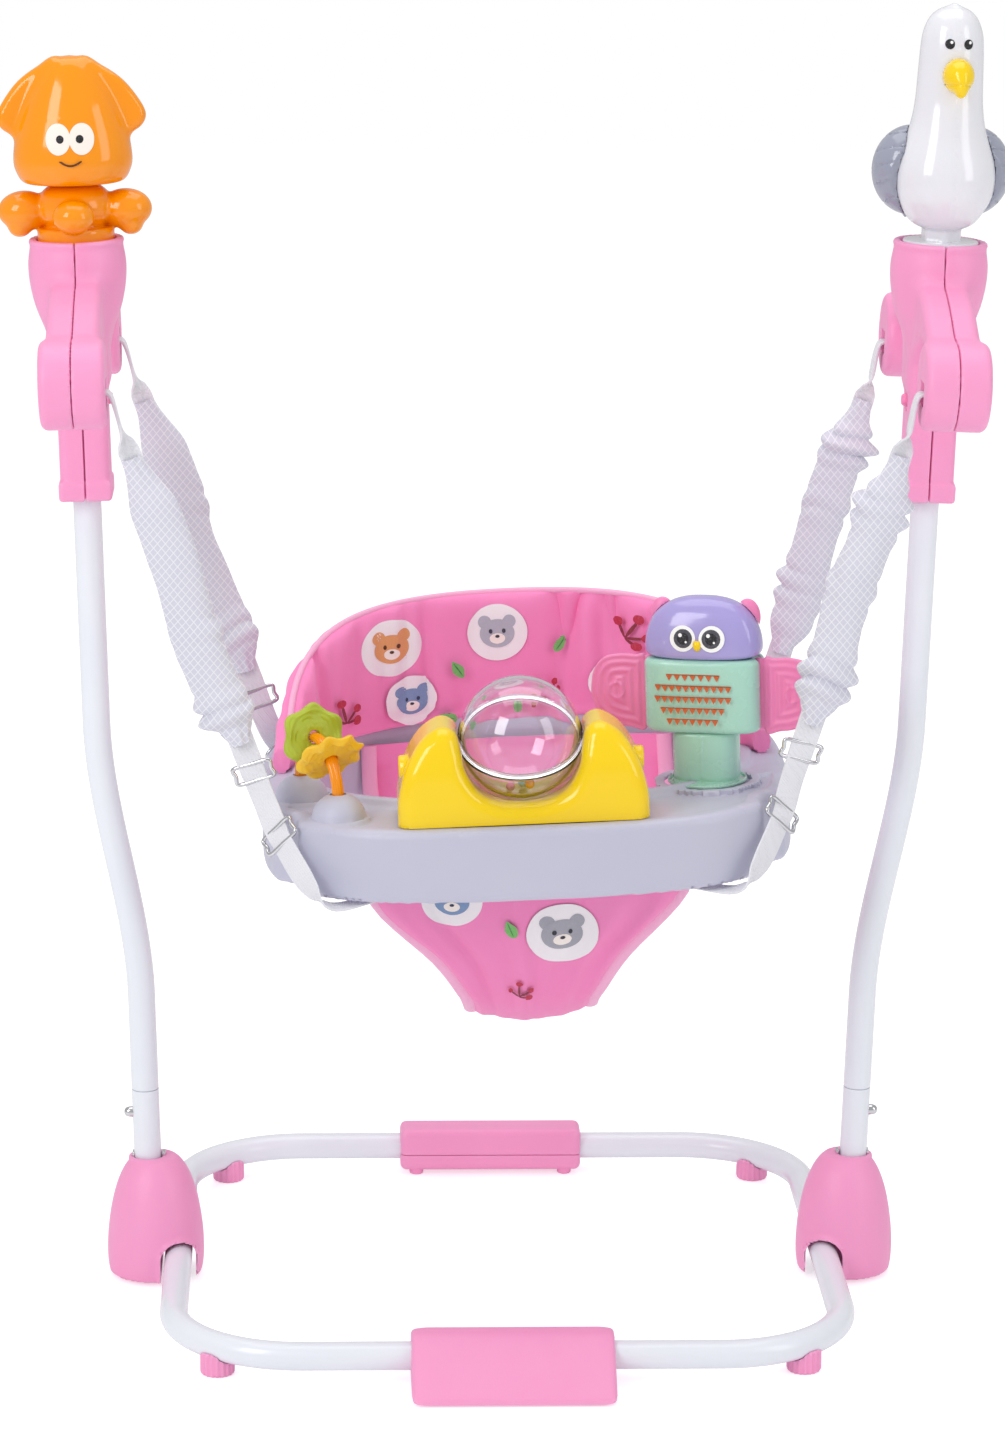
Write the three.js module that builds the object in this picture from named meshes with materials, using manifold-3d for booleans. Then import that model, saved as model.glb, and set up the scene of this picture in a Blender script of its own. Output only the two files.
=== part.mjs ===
// Activity jumper: a floor stand with two curved posts, from which a play seat hangs on four springs.
// Millimetres, +Z up, +X to the right of someone facing the toys' faces, -Y is the front.
// The origin is on the floor, under the middle of the whole object's box.
import * as THREE from 'three';
import { mergeVertices } from 'three/addons/utils/BufferGeometryUtils.js';
import Module from 'manifold-3d';

const wasm = await Module();
wasm.setup();

// Driving dimensions

const gap = 0.3; // between parts that touch
const tubeRadius = 11;
const tubeWall = 1.5;

const baseHalfWidth = 262; // to the centre of the side tubes
const baseHalfDepth = 254; // to the centre of the front and rear tubes
const baseCorner = 100;
const baseHeight = 22; // centre of the base tube above the floor
const couplerLength = 110;
const footRadius = 13.5;
const footAngle = 50; // degrees round the corner bend
const padHeight = 4;

const coverWidth = 156;
const coverTop = 41;
const coverHalfDepth = 17; // of the block round the tube
const frontCoverReach = 53; // toe of the front cover ahead of the tube
const splitHeight = 18;
const floorGap = 1; // under the front cover

const postGap = 1; // between the side tube and the post beside it
const postFoot = 32; // bottom of the lower post
const postJoint = 156; // where the upper post plugs into the lower one
const plugLength = 52;
const postReach = 56; // how far the post runs up into its head
const postBow = 27; // sideways step of the upper post
const bowStart = 235;
const bowEnd = 460;
const postLean = 0.03; // outward slope of the straight stretches
const buttonRadius = 3.2;
const buttonDrop = 20; // below the post joint
const buttonReach = 6.8; // beyond the post

const housingRoom = [17, 19]; // beside the two tubes, across and fore and aft
const housingTop = 99;
const housingBottom = 3;
const housingWall = 3;

const headBottom = 642;
const columnHalf = 19;
const columnHalfDepth = 23;
const collarHeight = 16;
const lugRadius = 34;
const lugWidth = 50;
const lugReach = 130; // fore and aft of the post
const lugHeight = 110; // above the head's bottom
const armWidth = 42;
const cupRadius = 35;
const cupTop = 204;
const cupDepth = 26;
const cupWall = 4;
const headButtonHeight = 78;
const headButtonRadius = 5;

const squidRadius = 46;
const squidSkirt = 42; // height of the skirt
const squidHood = 99;
const gullRadius = 41;
const gullHeight = 171;
const gullNeck = 29;
const toyYaw = 6;

const seatTilt = -2.5; // degrees, the hanging seat sits a little higher on its right
const seatShift = 14;
const seatTop = 425; // tray top above the floor
const trayHalfWidth = 209;
const trayHalfDepth = 203;
const trayHeight = 58;
const trayWall = 4;
const trayBevel = 6;
const openingHalfWidth = 172;
const openingHalfDepth = 138;
const openingCentre = 25; // behind the tray's centre

const backInset = [13, 18]; // from the tray's side and rear edges
const backHeight = 105;
const backThickness = 22;
const backStart = 5; // where its front ends stand

const slingDepth = 212; // crotch below the tray top
const slingThickness = 4;

const cradleX = -6;
const cradleHalfWidth = 96;
const cradleHeight = 74; // to the tips of its horns
const cradleDepth = 76;
const ballRadius = 47;
const ballWall = 2;
const ballRoom = 1.5; // between the ball and the saddle it turns in
const pinRadius = 3;
const ballTilt = 29; // degrees, its seam leans forward

const owlInset = [67, 127]; // from the tray's right and front edges
const owlYaw = -18;
const owlStemHeight = 42;
const owlPin = 6; // radius of the pins its body and head turn on
const owlBodyWidth = 92;
const owlBodyDepth = 46;
const owlBodyHeight = 58;
const owlHeadHeight = 47;
const owlWingReach = 44;

const domeInsets = [[62, 58], [33, 125]]; // from the tray's left and front edges
const domeRadius = 21;
const archHeight = 40;
const archRadius = 4.2;
const discRadius = 25;
const discRoom = 1.2; // round the arch

const strapWidth = 17;
const strapThickness = 2.4;
const webbingWidth = 20;
const webbingThickness = 1.8;
const coverHalfWidth = 21;
const coverHalfThickness = 13;
const coverShare = 0.7; // of the way from the head to the tray's corner
const springRadius = 8;
const springShare = 0.44;

// Materials

function finish(color, roughness, metalness = 0) {
  return new THREE.MeshStandardMaterial({ color, roughness, metalness });
}

const paintedTube = finish('#e3e7f0', 0.25);
const steel = finish('#b9bcc0', 0.3, 1);
const pinkPlastic = finish('#ffa5d3', 0.45);
const greyPlastic = finish('#c9cadd', 0.5);
const yellowPlastic = finish('#ffdf00', 0.25);
const orangePlastic = finish('#ffa200', 0.2);
const whitePlastic = finish('#efeff5', 0.3);
const wingGrey = finish('#a9adbd', 0.25);
const mintPlastic = finish('#a3d5be', 0.35);
const purplePlastic = finish('#a79bd8', 0.25);
const rosePlastic = finish('#ff88bb', 0.55);
const clearPlastic = finish('#f4f6fa', 0.05);
const limePlastic = finish('#c3d64a', 0.6);
const webbingFabric = finish('#ededf2', 0.9);
const coverFabric = finish('#dcdce8', 0.9);
const seatFabric = finish('#ff8cc8', 0.85);

// Geometry helpers

function toSolid(geometry) {
  const bare = geometry.clone();
  bare.deleteAttribute('normal');
  bare.deleteAttribute('uv');
  const merged = mergeVertices(bare, 1e-4);
  return new wasm.Manifold(new wasm.Mesh({
    numProp: 3,
    vertProperties: new Float32Array(merged.attributes.position.array),
    triVerts: new Uint32Array(merged.index.array),
  }));
}

function toGeometry(solid) {
  const mesh = solid.getMesh();
  const geometry = new THREE.BufferGeometry();
  geometry.setAttribute('position', new THREE.BufferAttribute(mesh.vertProperties, 3));
  geometry.setIndex(new THREE.BufferAttribute(mesh.triVerts, 1));
  geometry.computeVertexNormals();
  return geometry;
}

function join(...geometries) {
  return toGeometry(geometries.map(toSolid).reduce((a, b) => a.add(b)));
}

function cut(geometry, ...tools) {
  return toGeometry(tools.map(toSolid).reduce((a, b) => a.subtract(b), toSolid(geometry)));
}

function overlap(a, b) {
  return toGeometry(toSolid(a).intersect(toSolid(b)));
}

function box(x0, x1, y0, y1, z0, z1) {
  const geometry = new THREE.BoxGeometry(x1 - x0, y1 - y0, z1 - z0);
  return geometry.translate((x0 + x1) / 2, (y0 + y1) / 2, (z0 + z1) / 2);
}

// A bar along +Z from z0 to z1.
function bar(radius, z0, z1, sides = 16) {
  const geometry = new THREE.CylinderGeometry(radius, radius, Math.abs(z1 - z0), sides);
  return geometry.rotateX(Math.PI / 2).translate(0, 0, (z0 + z1) / 2);
}

// A bar along +X from x0 to x1.
function crossBar(radius, x0, x1, sides = 16) {
  return bar(radius, x0, x1, sides).rotateY(Math.PI / 2);
}

function ball(radius, across = 14, up = 10) {
  return new THREE.SphereGeometry(radius, across, up).rotateX(Math.PI / 2);
}

// A turned solid about +Z from [radius, height] pairs that start and end on the axis.
function turned(profile, sides = 20) {
  const points = profile.map(([r, z]) => new THREE.Vector2(r, z));
  return new THREE.LatheGeometry(points, sides).rotateX(Math.PI / 2);
}

function outline(points) {
  return new THREE.Shape(points.map(([x, y]) => new THREE.Vector2(x, y)));
}

// A plate of an outline in X and Y, from z0 to z1.
function plate(shape, z0, z1, bevel = 0, curveSegments = 4) {
  const geometry = new THREE.ExtrudeGeometry(shape, {
    depth: z1 - z0 - 2 * bevel,
    bevelEnabled: bevel > 0,
    bevelThickness: bevel,
    bevelSize: bevel,
    bevelOffset: -bevel,
    bevelSegments: 1,
    steps: 1,
    curveSegments,
  });
  return geometry.translate(0, 0, z0 + bevel);
}

// A plate of an outline in Y and Z, from x0 to x1.
function sidePlate(shape, x0, x1, bevel = 0) {
  return plate(shape, x0, x1, bevel).applyMatrix4(new THREE.Matrix4().set(
    0, 0, 1, 0,
    1, 0, 0, 0,
    0, 1, 0, 0,
    0, 0, 0, 1,
  ));
}

// A plate of an outline in X and Z, from y0 to y1.
function frontPlate(shape, y0, y1, bevel = 0) {
  return plate(shape, -y1, -y0, bevel).rotateX(Math.PI / 2);
}

function ellipsePoints(a, b, count, power = 2, cx = 0, cy = 0) {
  const points = [];
  for (let i = 0; i < count; i += 1) {
    const t = (2 * Math.PI * i) / count;
    const c = Math.cos(t);
    const s = Math.sin(t);
    const x = a * Math.sign(c) * Math.abs(c) ** (2 / power);
    const y = b * Math.sign(s) * Math.abs(s) ** (2 / power);
    points.push([cx + x, cy + y]);
  }
  return points;
}

const pipeSides = 8;

// A pipe along a curve, open at both ends.
function pipe(curve, steps, outer = tubeRadius, wall = tubeWall) {
  const ring = outline(ellipsePoints(outer, outer, pipeSides));
  const bore = ellipsePoints(outer - wall, outer - wall, pipeSides);
  ring.holes.push(new THREE.Path(bore.map(([x, y]) => new THREE.Vector2(x, y))));
  return new THREE.ExtrudeGeometry(ring, { steps, extrudePath: curve, bevelEnabled: false });
}

// A straight pipe along +Z.
function sleeve(outer, inner, z0, z1, sides = 12) {
  return turned([[inner, z0], [outer, z0], [outer, z1], [inner, z1], [inner, z0]], sides);
}

// Six times the volume inside a closed set of triangles, negative when they face inwards.
function signedVolume(points, faces) {
  let sum = 0;
  for (let i = 0; i < faces.length; i += 3) {
    const [a, b, c] = [points[faces[i]], points[faces[i + 1]], points[faces[i + 2]]];
    sum += a.dot(b.clone().cross(c));
  }
  return sum;
}

// A closed body through rings of points that all have the same count.
function loft(rings) {
  const count = rings[0].length;
  const positions = rings.flat().flatMap((p) => [p.x, p.y, p.z]);
  const faces = [];
  for (let r = 0; r + 1 < rings.length; r += 1) {
    for (let i = 0; i < count; i += 1) {
      const a = r * count + i;
      const b = r * count + ((i + 1) % count);
      faces.push(a, b, b + count, a, b + count, a + count);
    }
  }
  const last = (rings.length - 1) * count;
  for (let i = 1; i + 1 < count; i += 1) {
    faces.push(0, i + 1, i);
    faces.push(last, last + i, last + i + 1);
  }
  if (signedVolume(rings.flat(), faces) < 0) {
    faces.reverse();
  }
  const geometry = new THREE.BufferGeometry();
  geometry.setAttribute('position', new THREE.Float32BufferAttribute(positions, 3));
  geometry.setIndex(faces);
  geometry.computeVertexNormals();
  return geometry;
}

const stripSteps = 6; // between two stations of a strip, enough that its twist never folds it into itself

// A flat strip on a smooth line through stations; across[i] is the direction of its width at each.
function strip(stations, across, width, thickness) {
  const line = new THREE.CatmullRomCurve3(stations, false, 'centripetal');
  const count = stripSteps * (stations.length - 1);
  const rings = [];
  for (let i = 0; i <= count; i += 1) {
    const point = line.getPoint(i / count);
    const along = line.getTangent(i / count);
    const from = Math.min(Math.floor(i / stripSteps), stations.length - 2);
    const way = across[from].clone().lerp(across[from + 1], i / stripSteps - from);
    const side = way.clone().addScaledVector(along, -way.dot(along)).normalize();
    const face = along.clone().cross(side);
    const corner = (u, v) => point.clone()
      .addScaledVector(side, (u * width) / 2)
      .addScaledVector(face, (v * thickness) / 2);
    rings.push([corner(-1, -1), corner(1, -1), corner(1, 1), corner(-1, 1)]);
  }
  return loft(rings);
}

const object = new THREE.Group();
const stand = new THREE.Group();
stand.position.y = (frontCoverReach - coverHalfDepth) / 2;
object.add(stand);

function addPart(parent, name, geometry, material) {
  const mesh = new THREE.Mesh(geometry, material);
  mesh.name = name;
  parent.add(mesh);
  return mesh;
}

const sideName = (side) => (side < 0 ? 'left' : 'right');
const endName = (end) => (end < 0 ? 'front' : 'rear');

// Base: two bent tubes that meet inside the front and rear covers

class BaseRun extends THREE.Curve {
  constructor(side) {
    super();
    this.side = side;
    this.start = gap / 2;
    this.straight = baseHalfWidth - baseCorner - this.start;
    this.bend = (Math.PI / 2) * baseCorner;
    this.flank = 2 * (baseHalfDepth - baseCorner);
    this.total = 2 * this.straight + 2 * this.bend + this.flank;
  }

  getPoint(t, target = new THREE.Vector3()) {
    const half = this.total / 2;
    const run = t * this.total;
    const end = run < half ? -1 : 1;
    const rest = run < half ? run : this.total - run;
    let x = this.start + rest;
    let y = baseHalfDepth;
    if (rest > this.straight) {
      const turn = Math.min((rest - this.straight) / baseCorner, Math.PI / 2);
      x = baseHalfWidth - baseCorner + baseCorner * Math.sin(turn);
      y = baseHalfDepth - baseCorner + baseCorner * Math.cos(turn);
      y -= Math.max(rest - this.straight - this.bend, 0);
    }
    return target.set(this.side * x, end * y, baseHeight);
  }
}

const baseSteps = 26;

for (const side of [-1, 1]) {
  addPart(stand, `base_tube_${sideName(side)}`, pipe(new BaseRun(side), baseSteps), paintedTube);
}

const innerRadius = (tubeRadius - tubeWall) * Math.cos(Math.PI / pipeSides) - gap;
for (const end of [-1, 1]) {
  const coupler = sleeve(innerRadius, innerRadius - tubeWall, -couplerLength / 2, couplerLength / 2, 8);
  coupler.rotateY(Math.PI / 2).translate(0, end * baseHalfDepth, baseHeight);
  addPart(stand, `tube_coupler_${endName(end)}`, coupler, steel);
}

// Feet: round pads with a saddle that carries the corner bends

for (const end of [-1, 1]) {
  for (const side of [-1, 1]) {
    const turn = THREE.MathUtils.degToRad(footAngle);
    const x = side * (baseHalfWidth - baseCorner + baseCorner * Math.cos(turn));
    const y = end * (baseHalfDepth - baseCorner + baseCorner * Math.sin(turn));
    const saddle = new THREE.ExtrudeGeometry(
      outline(ellipsePoints(tubeRadius + 0.5, tubeRadius + 0.5, pipeSides)),
      { steps: baseSteps, extrudePath: new BaseRun(side), bevelEnabled: false },
    );
    const pad = bar(footRadius, 0, baseHeight - 3, 12).translate(x, y, 0);
    addPart(stand, `foot_${endName(end)}_${sideName(side)}`, cut(pad, saddle), pinkPlastic);
  }
}

// Covers over the joins of the base tubes

function coverBore(y) {
  return crossBar(tubeRadius + gap, -coverWidth, coverWidth, 16).translate(0, y, baseHeight);
}

const coverBevel = 5;
const frontCover = outline([
  [-frontCoverReach, floorGap],
  [coverHalfDepth - 2, floorGap],
  [coverHalfDepth, floorGap + 3],
  [coverHalfDepth, coverTop - coverBevel],
  [coverHalfDepth - coverBevel, coverTop],
  [1, coverTop],
  [-3, coverTop - 2],
  [-frontCoverReach, floorGap + 4],
]);
addPart(
  stand,
  'cover_front',
  cut(
    sidePlate(frontCover, -coverWidth / 2, coverWidth / 2).translate(0, -baseHalfDepth, 0),
    coverBore(-baseHalfDepth),
  ),
  pinkPlastic,
);

const rearOutline = outline([
  [-coverHalfDepth, padHeight],
  [coverHalfDepth, padHeight],
  [coverHalfDepth, coverTop - coverBevel],
  [coverHalfDepth - coverBevel, coverTop],
  [coverBevel - coverHalfDepth, coverTop],
  [-coverHalfDepth, coverTop - coverBevel],
]);
const rearBlock = sidePlate(rearOutline, -coverWidth / 2, coverWidth / 2);
rearBlock.translate(0, baseHalfDepth, 0);
const rearPads = [-1, 1].map((side) => (
  bar(6, 0.5, padHeight + 1, 10).translate(side * (coverWidth / 2 - 14), baseHalfDepth - 9, 0)
));
const rearShells = {
  cover_rear_lower: [join(rearBlock, ...rearPads), -1, splitHeight],
  cover_rear_upper: [rearBlock, splitHeight + gap, coverTop + 1],
};
for (const [name, [block, low, high]] of Object.entries(rearShells)) {
  const keep = box(-coverWidth, coverWidth, 0, 2 * baseHalfDepth, low, high);
  addPart(stand, name, cut(overlap(block, keep), coverBore(baseHalfDepth)), pinkPlastic);
}

// Posts

const postX = baseHalfWidth + 2 * tubeRadius + postGap;
const postTop = headBottom + postReach;

function postOffset(z) {
  const t = THREE.MathUtils.clamp((z - bowStart) / (bowEnd - bowStart), 0, 1);
  return postX + postLean * (z - postFoot) + postBow * t * t * (3 - 2 * t);
}

class PostRun extends THREE.Curve {
  constructor(side, low, high) {
    super();
    this.side = side;
    this.low = low;
    this.high = high;
  }

  getPoint(t, target = new THREE.Vector3()) {
    const z = this.low + t * (this.high - this.low);
    return target.set(this.side * postOffset(z), 0, z);
  }
}

const buttonHeight = postJoint - buttonDrop;

for (const side of [-1, 1]) {
  const buttonX = side * postOffset(buttonHeight);
  const hole = crossBar(buttonRadius + gap, 0, side * 2 * tubeRadius, 10);
  hole.translate(buttonX, 0, buttonHeight);

  // A steel saddle welded to the lower post bears on the side tube, and two ears brace the post.
  const lower = pipe(new PostRun(side, postFoot, postJoint - gap), 1);
  const tubeTop = baseHeight + tubeRadius + gap;
  const saddle = box(4 - tubeRadius, 2 * tubeRadius + 2, -13, 13, tubeTop, tubeTop + 3);
  const earMiddle = (tubeTop + housingTop) / 2;
  const ears = [-1, 1].map((way) => (
    box(-1.4, 1.4, -4.5, 4.5, tubeTop, housingTop + 4)
      .translate(postOffset(earMiddle) - baseHalfWidth + way * (tubeRadius + 1), 0, 0)
  ));
  const grip = join(saddle, ...ears);
  if (side < 0) {
    grip.rotateZ(Math.PI);
  }
  grip.translate(side * baseHalfWidth, 0, 0);
  const post = new PostRun(side, postFoot - 5, postJoint);
  const clear = new THREE.ExtrudeGeometry(
    outline(ellipsePoints(tubeRadius - tubeWall, tubeRadius - tubeWall, pipeSides)),
    { steps: 1, extrudePath: post, bevelEnabled: false },
  );
  const welded = cut(join(lower, grip), clear, hole);
  addPart(stand, `post_lower_${sideName(side)}`, welded, paintedTube);

  const plugTop = postJoint + 6;
  const plug = pipe(new PostRun(side, postJoint - plugLength, plugTop), 1, innerRadius, 1.6);
  const shoulder = pipe(new PostRun(side, postJoint, plugTop), 1, tubeRadius, 4);
  const upper = pipe(new PostRun(side, postJoint, postTop), 9);
  const swaged = cut(join(upper, shoulder, plug), hole);
  addPart(stand, `post_upper_${sideName(side)}`, swaged, paintedTube);

  const tip = tubeRadius + buttonReach;
  const button = turned([
    [0, 2], [4.6, 2], [4.6, 4], [buttonRadius, 4],
    [buttonRadius, tip - 2], [buttonRadius * 0.75, tip - 0.6], [0, tip],
  ], 8);
  button.rotateY(side * Math.PI / 2).translate(buttonX, 0, buttonHeight);
  addPart(stand, `post_button_${sideName(side)}`, button, steel);
}

// Housings that cover the feet of the posts

const housingHalfWidth = 2 * tubeRadius + housingRoom[0];
const housingHalfDepth = 2 * tubeRadius + housingRoom[1];

// Its wall bulges near the floor and closes in round the post. Radii are shares of the half width.
const housingShape = [[0.96, 0], [1, 0.125], [0.96, 0.3], [0.87, 0.51], [0.73, 0.72], [0.54, 0.91]];

function housingSolid(inset, low, high, sides) {
  const height = housingTop - housingBottom;
  const round = (housingHalfWidth - inset) / housingHalfWidth;
  const profile = housingShape.map(([r, h]) => [
    housingHalfWidth * r * round,
    Math.min(housingBottom + h * height, high),
  ]);
  profile.push([Math.max(tubeRadius + 5.5 - inset, tubeRadius + 1), high]);
  const solid = turned([[0, low], [profile[0][0], low], ...profile, [0, high]], sides);
  return solid.scale(1, housingHalfDepth / housingHalfWidth, 1);
}

for (const side of [-1, 1]) {
  const centre = side * (postX - 4);
  const dome = housingSolid(0, housingBottom, housingTop, 16).translate(centre, 0, 0);
  const hollow = housingSolid(housingWall, housingBottom - 1, housingTop - 2 * housingWall, 12);
  hollow.translate(centre, 0, 0);
  const archRoom = tubeRadius + 3;
  const through = housingHalfDepth + 20;
  const arch = join(
    crossBar(archRoom, -through, through, 12).rotateZ(Math.PI / 2).translate(0, 0, baseHeight),
    box(-archRoom, archRoom, -through, through, -5, baseHeight),
  ).translate(side * baseHalfWidth, 0, 0);
  const mouth = bar(tubeRadius + 4.5, housingTop - 39, housingTop + 5, 14);
  mouth.translate(side * postOffset(housingTop - 19), 0, 0);
  const housing = cut(dome, hollow, arch, mouth);
  addPart(stand, `foot_housing_${sideName(side)}`, housing, pinkPlastic);
}

// Heads: two half shells on each post that carry the spring straps and hold a toy

const headLean = Math.atan(postLean);
const strapSlot = { half: strapWidth / 2 + 2.5, height: 9, depth: 13 };

function headSolid() {
  const column = join(
    box(1 - columnHalf, columnHalf - 1, 1 - columnHalfDepth, columnHalfDepth - 1, collarHeight - 1, cupTop - 54),
    box(-columnHalf, columnHalf, -columnHalfDepth, columnHalfDepth, 0, collarHeight),
  );
  const cup = turned([
    [0, cupTop - 86], [cupRadius * 0.51, cupTop - 84], [cupRadius * 0.77, cupTop - 68],
    [cupRadius - 1, cupTop - 52], [cupRadius + 2.5, cupTop - 34], [cupRadius + 3, cupTop - 20],
    [cupRadius, cupTop], [0, cupTop],
  ], 16);
  const shoulder = cupTop - 28;
  const armTop = lugHeight + 30;
  const armBottom = lugHeight - 6;
  const armBend = lugReach - 50;
  const throat = columnHalfDepth - 3;
  const arms = new THREE.Shape();
  arms.moveTo(-lugReach, armTop);
  arms.quadraticCurveTo(-armBend, shoulder - 4, 5 - cupRadius, shoulder);
  arms.lineTo(cupRadius - 5, shoulder);
  arms.quadraticCurveTo(armBend, shoulder - 4, lugReach, armTop);
  arms.lineTo(lugReach, armBottom);
  arms.quadraticCurveTo(armBend, lugHeight + 32, throat + 28, lugHeight + 18);
  arms.quadraticCurveTo(throat + 4, lugHeight + 6, throat, lugHeight - 20);
  arms.lineTo(-throat, lugHeight - 20);
  arms.quadraticCurveTo(-throat - 4, lugHeight + 6, -throat - 28, lugHeight + 18);
  arms.quadraticCurveTo(-armBend, lugHeight + 32, -lugReach, armBottom);
  const lugs = [-1, 1].map((end) => (
    crossBar(lugRadius, -lugWidth / 2, lugWidth / 2, 14).translate(0, end * lugReach, lugHeight)
  ));
  return join(cup, column, sidePlate(arms, -armWidth / 2, armWidth / 2), ...lugs);
}

const postBore = bar(tubeRadius + 0.6, -5, postReach + 3, 12);
const cupHollow = bar(cupRadius - cupWall, cupTop - cupDepth, cupTop + 5, 16);

for (const side of [-1, 1]) {
  const head = new THREE.Group();
  head.position.set(side * postOffset(headBottom), 0, headBottom);
  head.rotation.y = side * headLean;
  stand.add(head);
  const inward = -side;
  const slots = [-1, 1].map((end) => (
    box(0, strapSlot.depth, -strapSlot.half, strapSlot.half, -strapSlot.height, strapSlot.height)
      .translate(lugWidth / 2 - strapSlot.depth + 1, end * lugReach, lugHeight - 6)
      .rotateZ(inward < 0 ? Math.PI : 0)
  ));
  const buttonHole = crossBar(headButtonRadius + gap, 0, inward * 2 * columnHalf, 12);
  buttonHole.translate(0, 0, headButtonHeight);
  const whole = cut(headSolid(), postBore, cupHollow, buttonHole, ...slots);
  const halves = { inner: inward, outer: -inward };
  for (const [name, way] of Object.entries(halves)) {
    const edge = way * (gap / 2);
    const far = way * 2 * (cupRadius + lugWidth);
    const keep = box(
      Math.min(edge, far),
      Math.max(edge, far),
      -2 * lugReach,
      2 * lugReach,
      -10,
      2 * cupTop,
    );
    addPart(head, `head_${sideName(side)}_${name}`, overlap(whole, keep), pinkPlastic);
  }
  const press = turned([
    [0, tubeRadius + 2], [headButtonRadius, tubeRadius + 2], [headButtonRadius, columnHalf + 3],
    [headButtonRadius - 1.5, columnHalf + 4.5], [0, columnHalf + 4.5],
  ], 12);
  press.rotateY(inward * Math.PI / 2).translate(0, 0, headButtonHeight);
  addPart(head, `head_button_${sideName(side)}`, press, pinkPlastic);
  head.updateMatrixWorld(true);

  // Toys stand in the cups.
  const toy = new THREE.Group();
  toy.position.z = cupTop;
  head.add(toy);
  const socket = cupRadius - cupWall - 1.2;
  if (side < 0) {
    addSquid(toy, socket);
  } else {
    addGull(toy, socket);
  }
}

// Toys

function addSquid(toy, socket) {
  const skirt = turned([
    [0, 1 - cupDepth], [socket, 1 - cupDepth], [socket, 8], [socket - 5, squidSkirt / 2],
    [socket - 4, squidSkirt], [0, squidSkirt],
  ], 14);
  const arms = [0, 1, 2, 3].map((i) => {
    const reach = squidRadius - (i % 2 === 0 ? 6 : 12);
    const size = i % 2 === 0 ? [19, 15, 15] : [16, 13, 13];
    return ball(1, 8, 6).scale(...size).translate(reach, 0, squidSkirt / 2 + 1).rotateZ((i * Math.PI) / 2);
  });
  addPart(toy, 'squid_skirt', join(skirt, ...arms), orangePlastic);

  const base = squidSkirt + gap;
  const hood = turned([
    [0, 0], [0.78, 0], [0.96, 0.08], [1, 0.2], [0.95, 0.4], [0.78, 0.63],
    [0.61, 0.77], [0.41, 0.93], [0.2, 0.99], [0, 1],
  ].map(([r, h]) => [squidRadius * r, base + squidHood * h]), 14);
  hood.scale(1, 0.8, 1);
  const fin = outline([
    [0.43, 0.91], [0.74, 0.87], [1.13, 0.67], [1.26, 0.52], [1.09, 0.42], [0.83, 0.36], [0.52, 0.5],
  ].map(([x, h]) => [squidRadius * x, base + squidHood * h]));
  const fins = [-1, 1].map((way) => {
    const blade = frontPlate(fin, -6, 6, 2);
    return way > 0 ? blade : blade.rotateZ(Math.PI);
  });
  addPart(toy, 'squid_hood', join(hood, ...fins), orangePlastic);
}

function addGull(toy, socket) {
  const yaw = THREE.MathUtils.degToRad(toyYaw);
  const foot = 10;
  const stem = join(
    bar(socket, 1 - cupDepth, 1, 14),
    turned([[0, 0], [15, 0], [15, 4], [13, foot], [0, foot]], 6),
  );

  // Radii run from the belly to the neck and the crown.
  const base = foot - 1;
  const neck = gullNeck / gullRadius;
  const bodyShape = [
    [0.34, 0], [neck, 0.065], [0.95, 0.15], [1, 0.235], [0.95, 0.315], [0.83, 0.4], [neck + 0.02, 0.49],
    [neck, 0.61], [0.95 * neck, 0.75], [0.86 * neck, 0.855], [0.66 * neck, 0.925], [0.28 * neck, 0.97],
    [0.2 * neck, 1],
  ].map(([r, h]) => [gullRadius * r, base + gullHeight * h]);
  const body = turned([[0, base], ...bodyShape, [0, base + gullHeight]], 14).rotateZ(yaw);
  const around = turned([
    [0, base - 5], [bodyShape[0][0] + 2, base - 5],
    ...bodyShape.slice(1, 8).map(([r, h]) => [r + 1.5, h]),
    [0, bodyShape[7][1]],
  ], 14).rotateZ(yaw);
  const wing = ball(1, 12, 8).scale(gullRadius + 11, 34, 34);
  wing.translate(0, 10, base + gullHeight * 0.27).rotateZ(yaw);
  const front = box(-70, 70, -60, -3, 0, 2 * gullHeight).rotateZ(yaw);
  addPart(toy, 'gull_wings', cut(wing, front, around), wingGrey);

  const beakShape = (grow) => turned([
    [0, -14], [10, -12], [13, -4], [11, 5], [5, 12], [0, 14],
  ], 8).scale(grow, 1.15 * grow, grow).rotateX(0.25)
    .translate(0, -gullNeck - 2, base + gullHeight * 0.69).rotateZ(yaw);
  addPart(toy, 'gull_body', cut(join(stem, body), beakShape(1.06)), whitePlastic);
  addPart(toy, 'gull_beak', beakShape(1), yellowPlastic);
}

// The hanging seat

const seat = new THREE.Group();
seat.position.set(seatShift, 0, seatTop);
seat.rotation.y = THREE.MathUtils.degToRad(seatTilt);
stand.add(seat);
seat.updateMatrixWorld(true);

function trayOutline(inset, count) {
  const shape = outline(ellipsePoints(trayHalfWidth - inset, trayHalfDepth - inset, count, 3.2));
  const hole = ellipsePoints(
    openingHalfWidth + inset,
    openingHalfDepth + inset,
    count,
    2.6,
    0,
    openingCentre,
  );
  shape.holes.push(new THREE.Path(hole.map(([x, y]) => new THREE.Vector2(x, y))));
  return shape;
}

function dome([x, y]) {
  const profile = [
    [0, -2], [domeRadius, -2], [domeRadius, 2], [domeRadius * 0.86, 11], [domeRadius * 0.5, 18], [0, 20],
  ];
  return turned(profile, 12).translate(x, y, 0);
}

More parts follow.
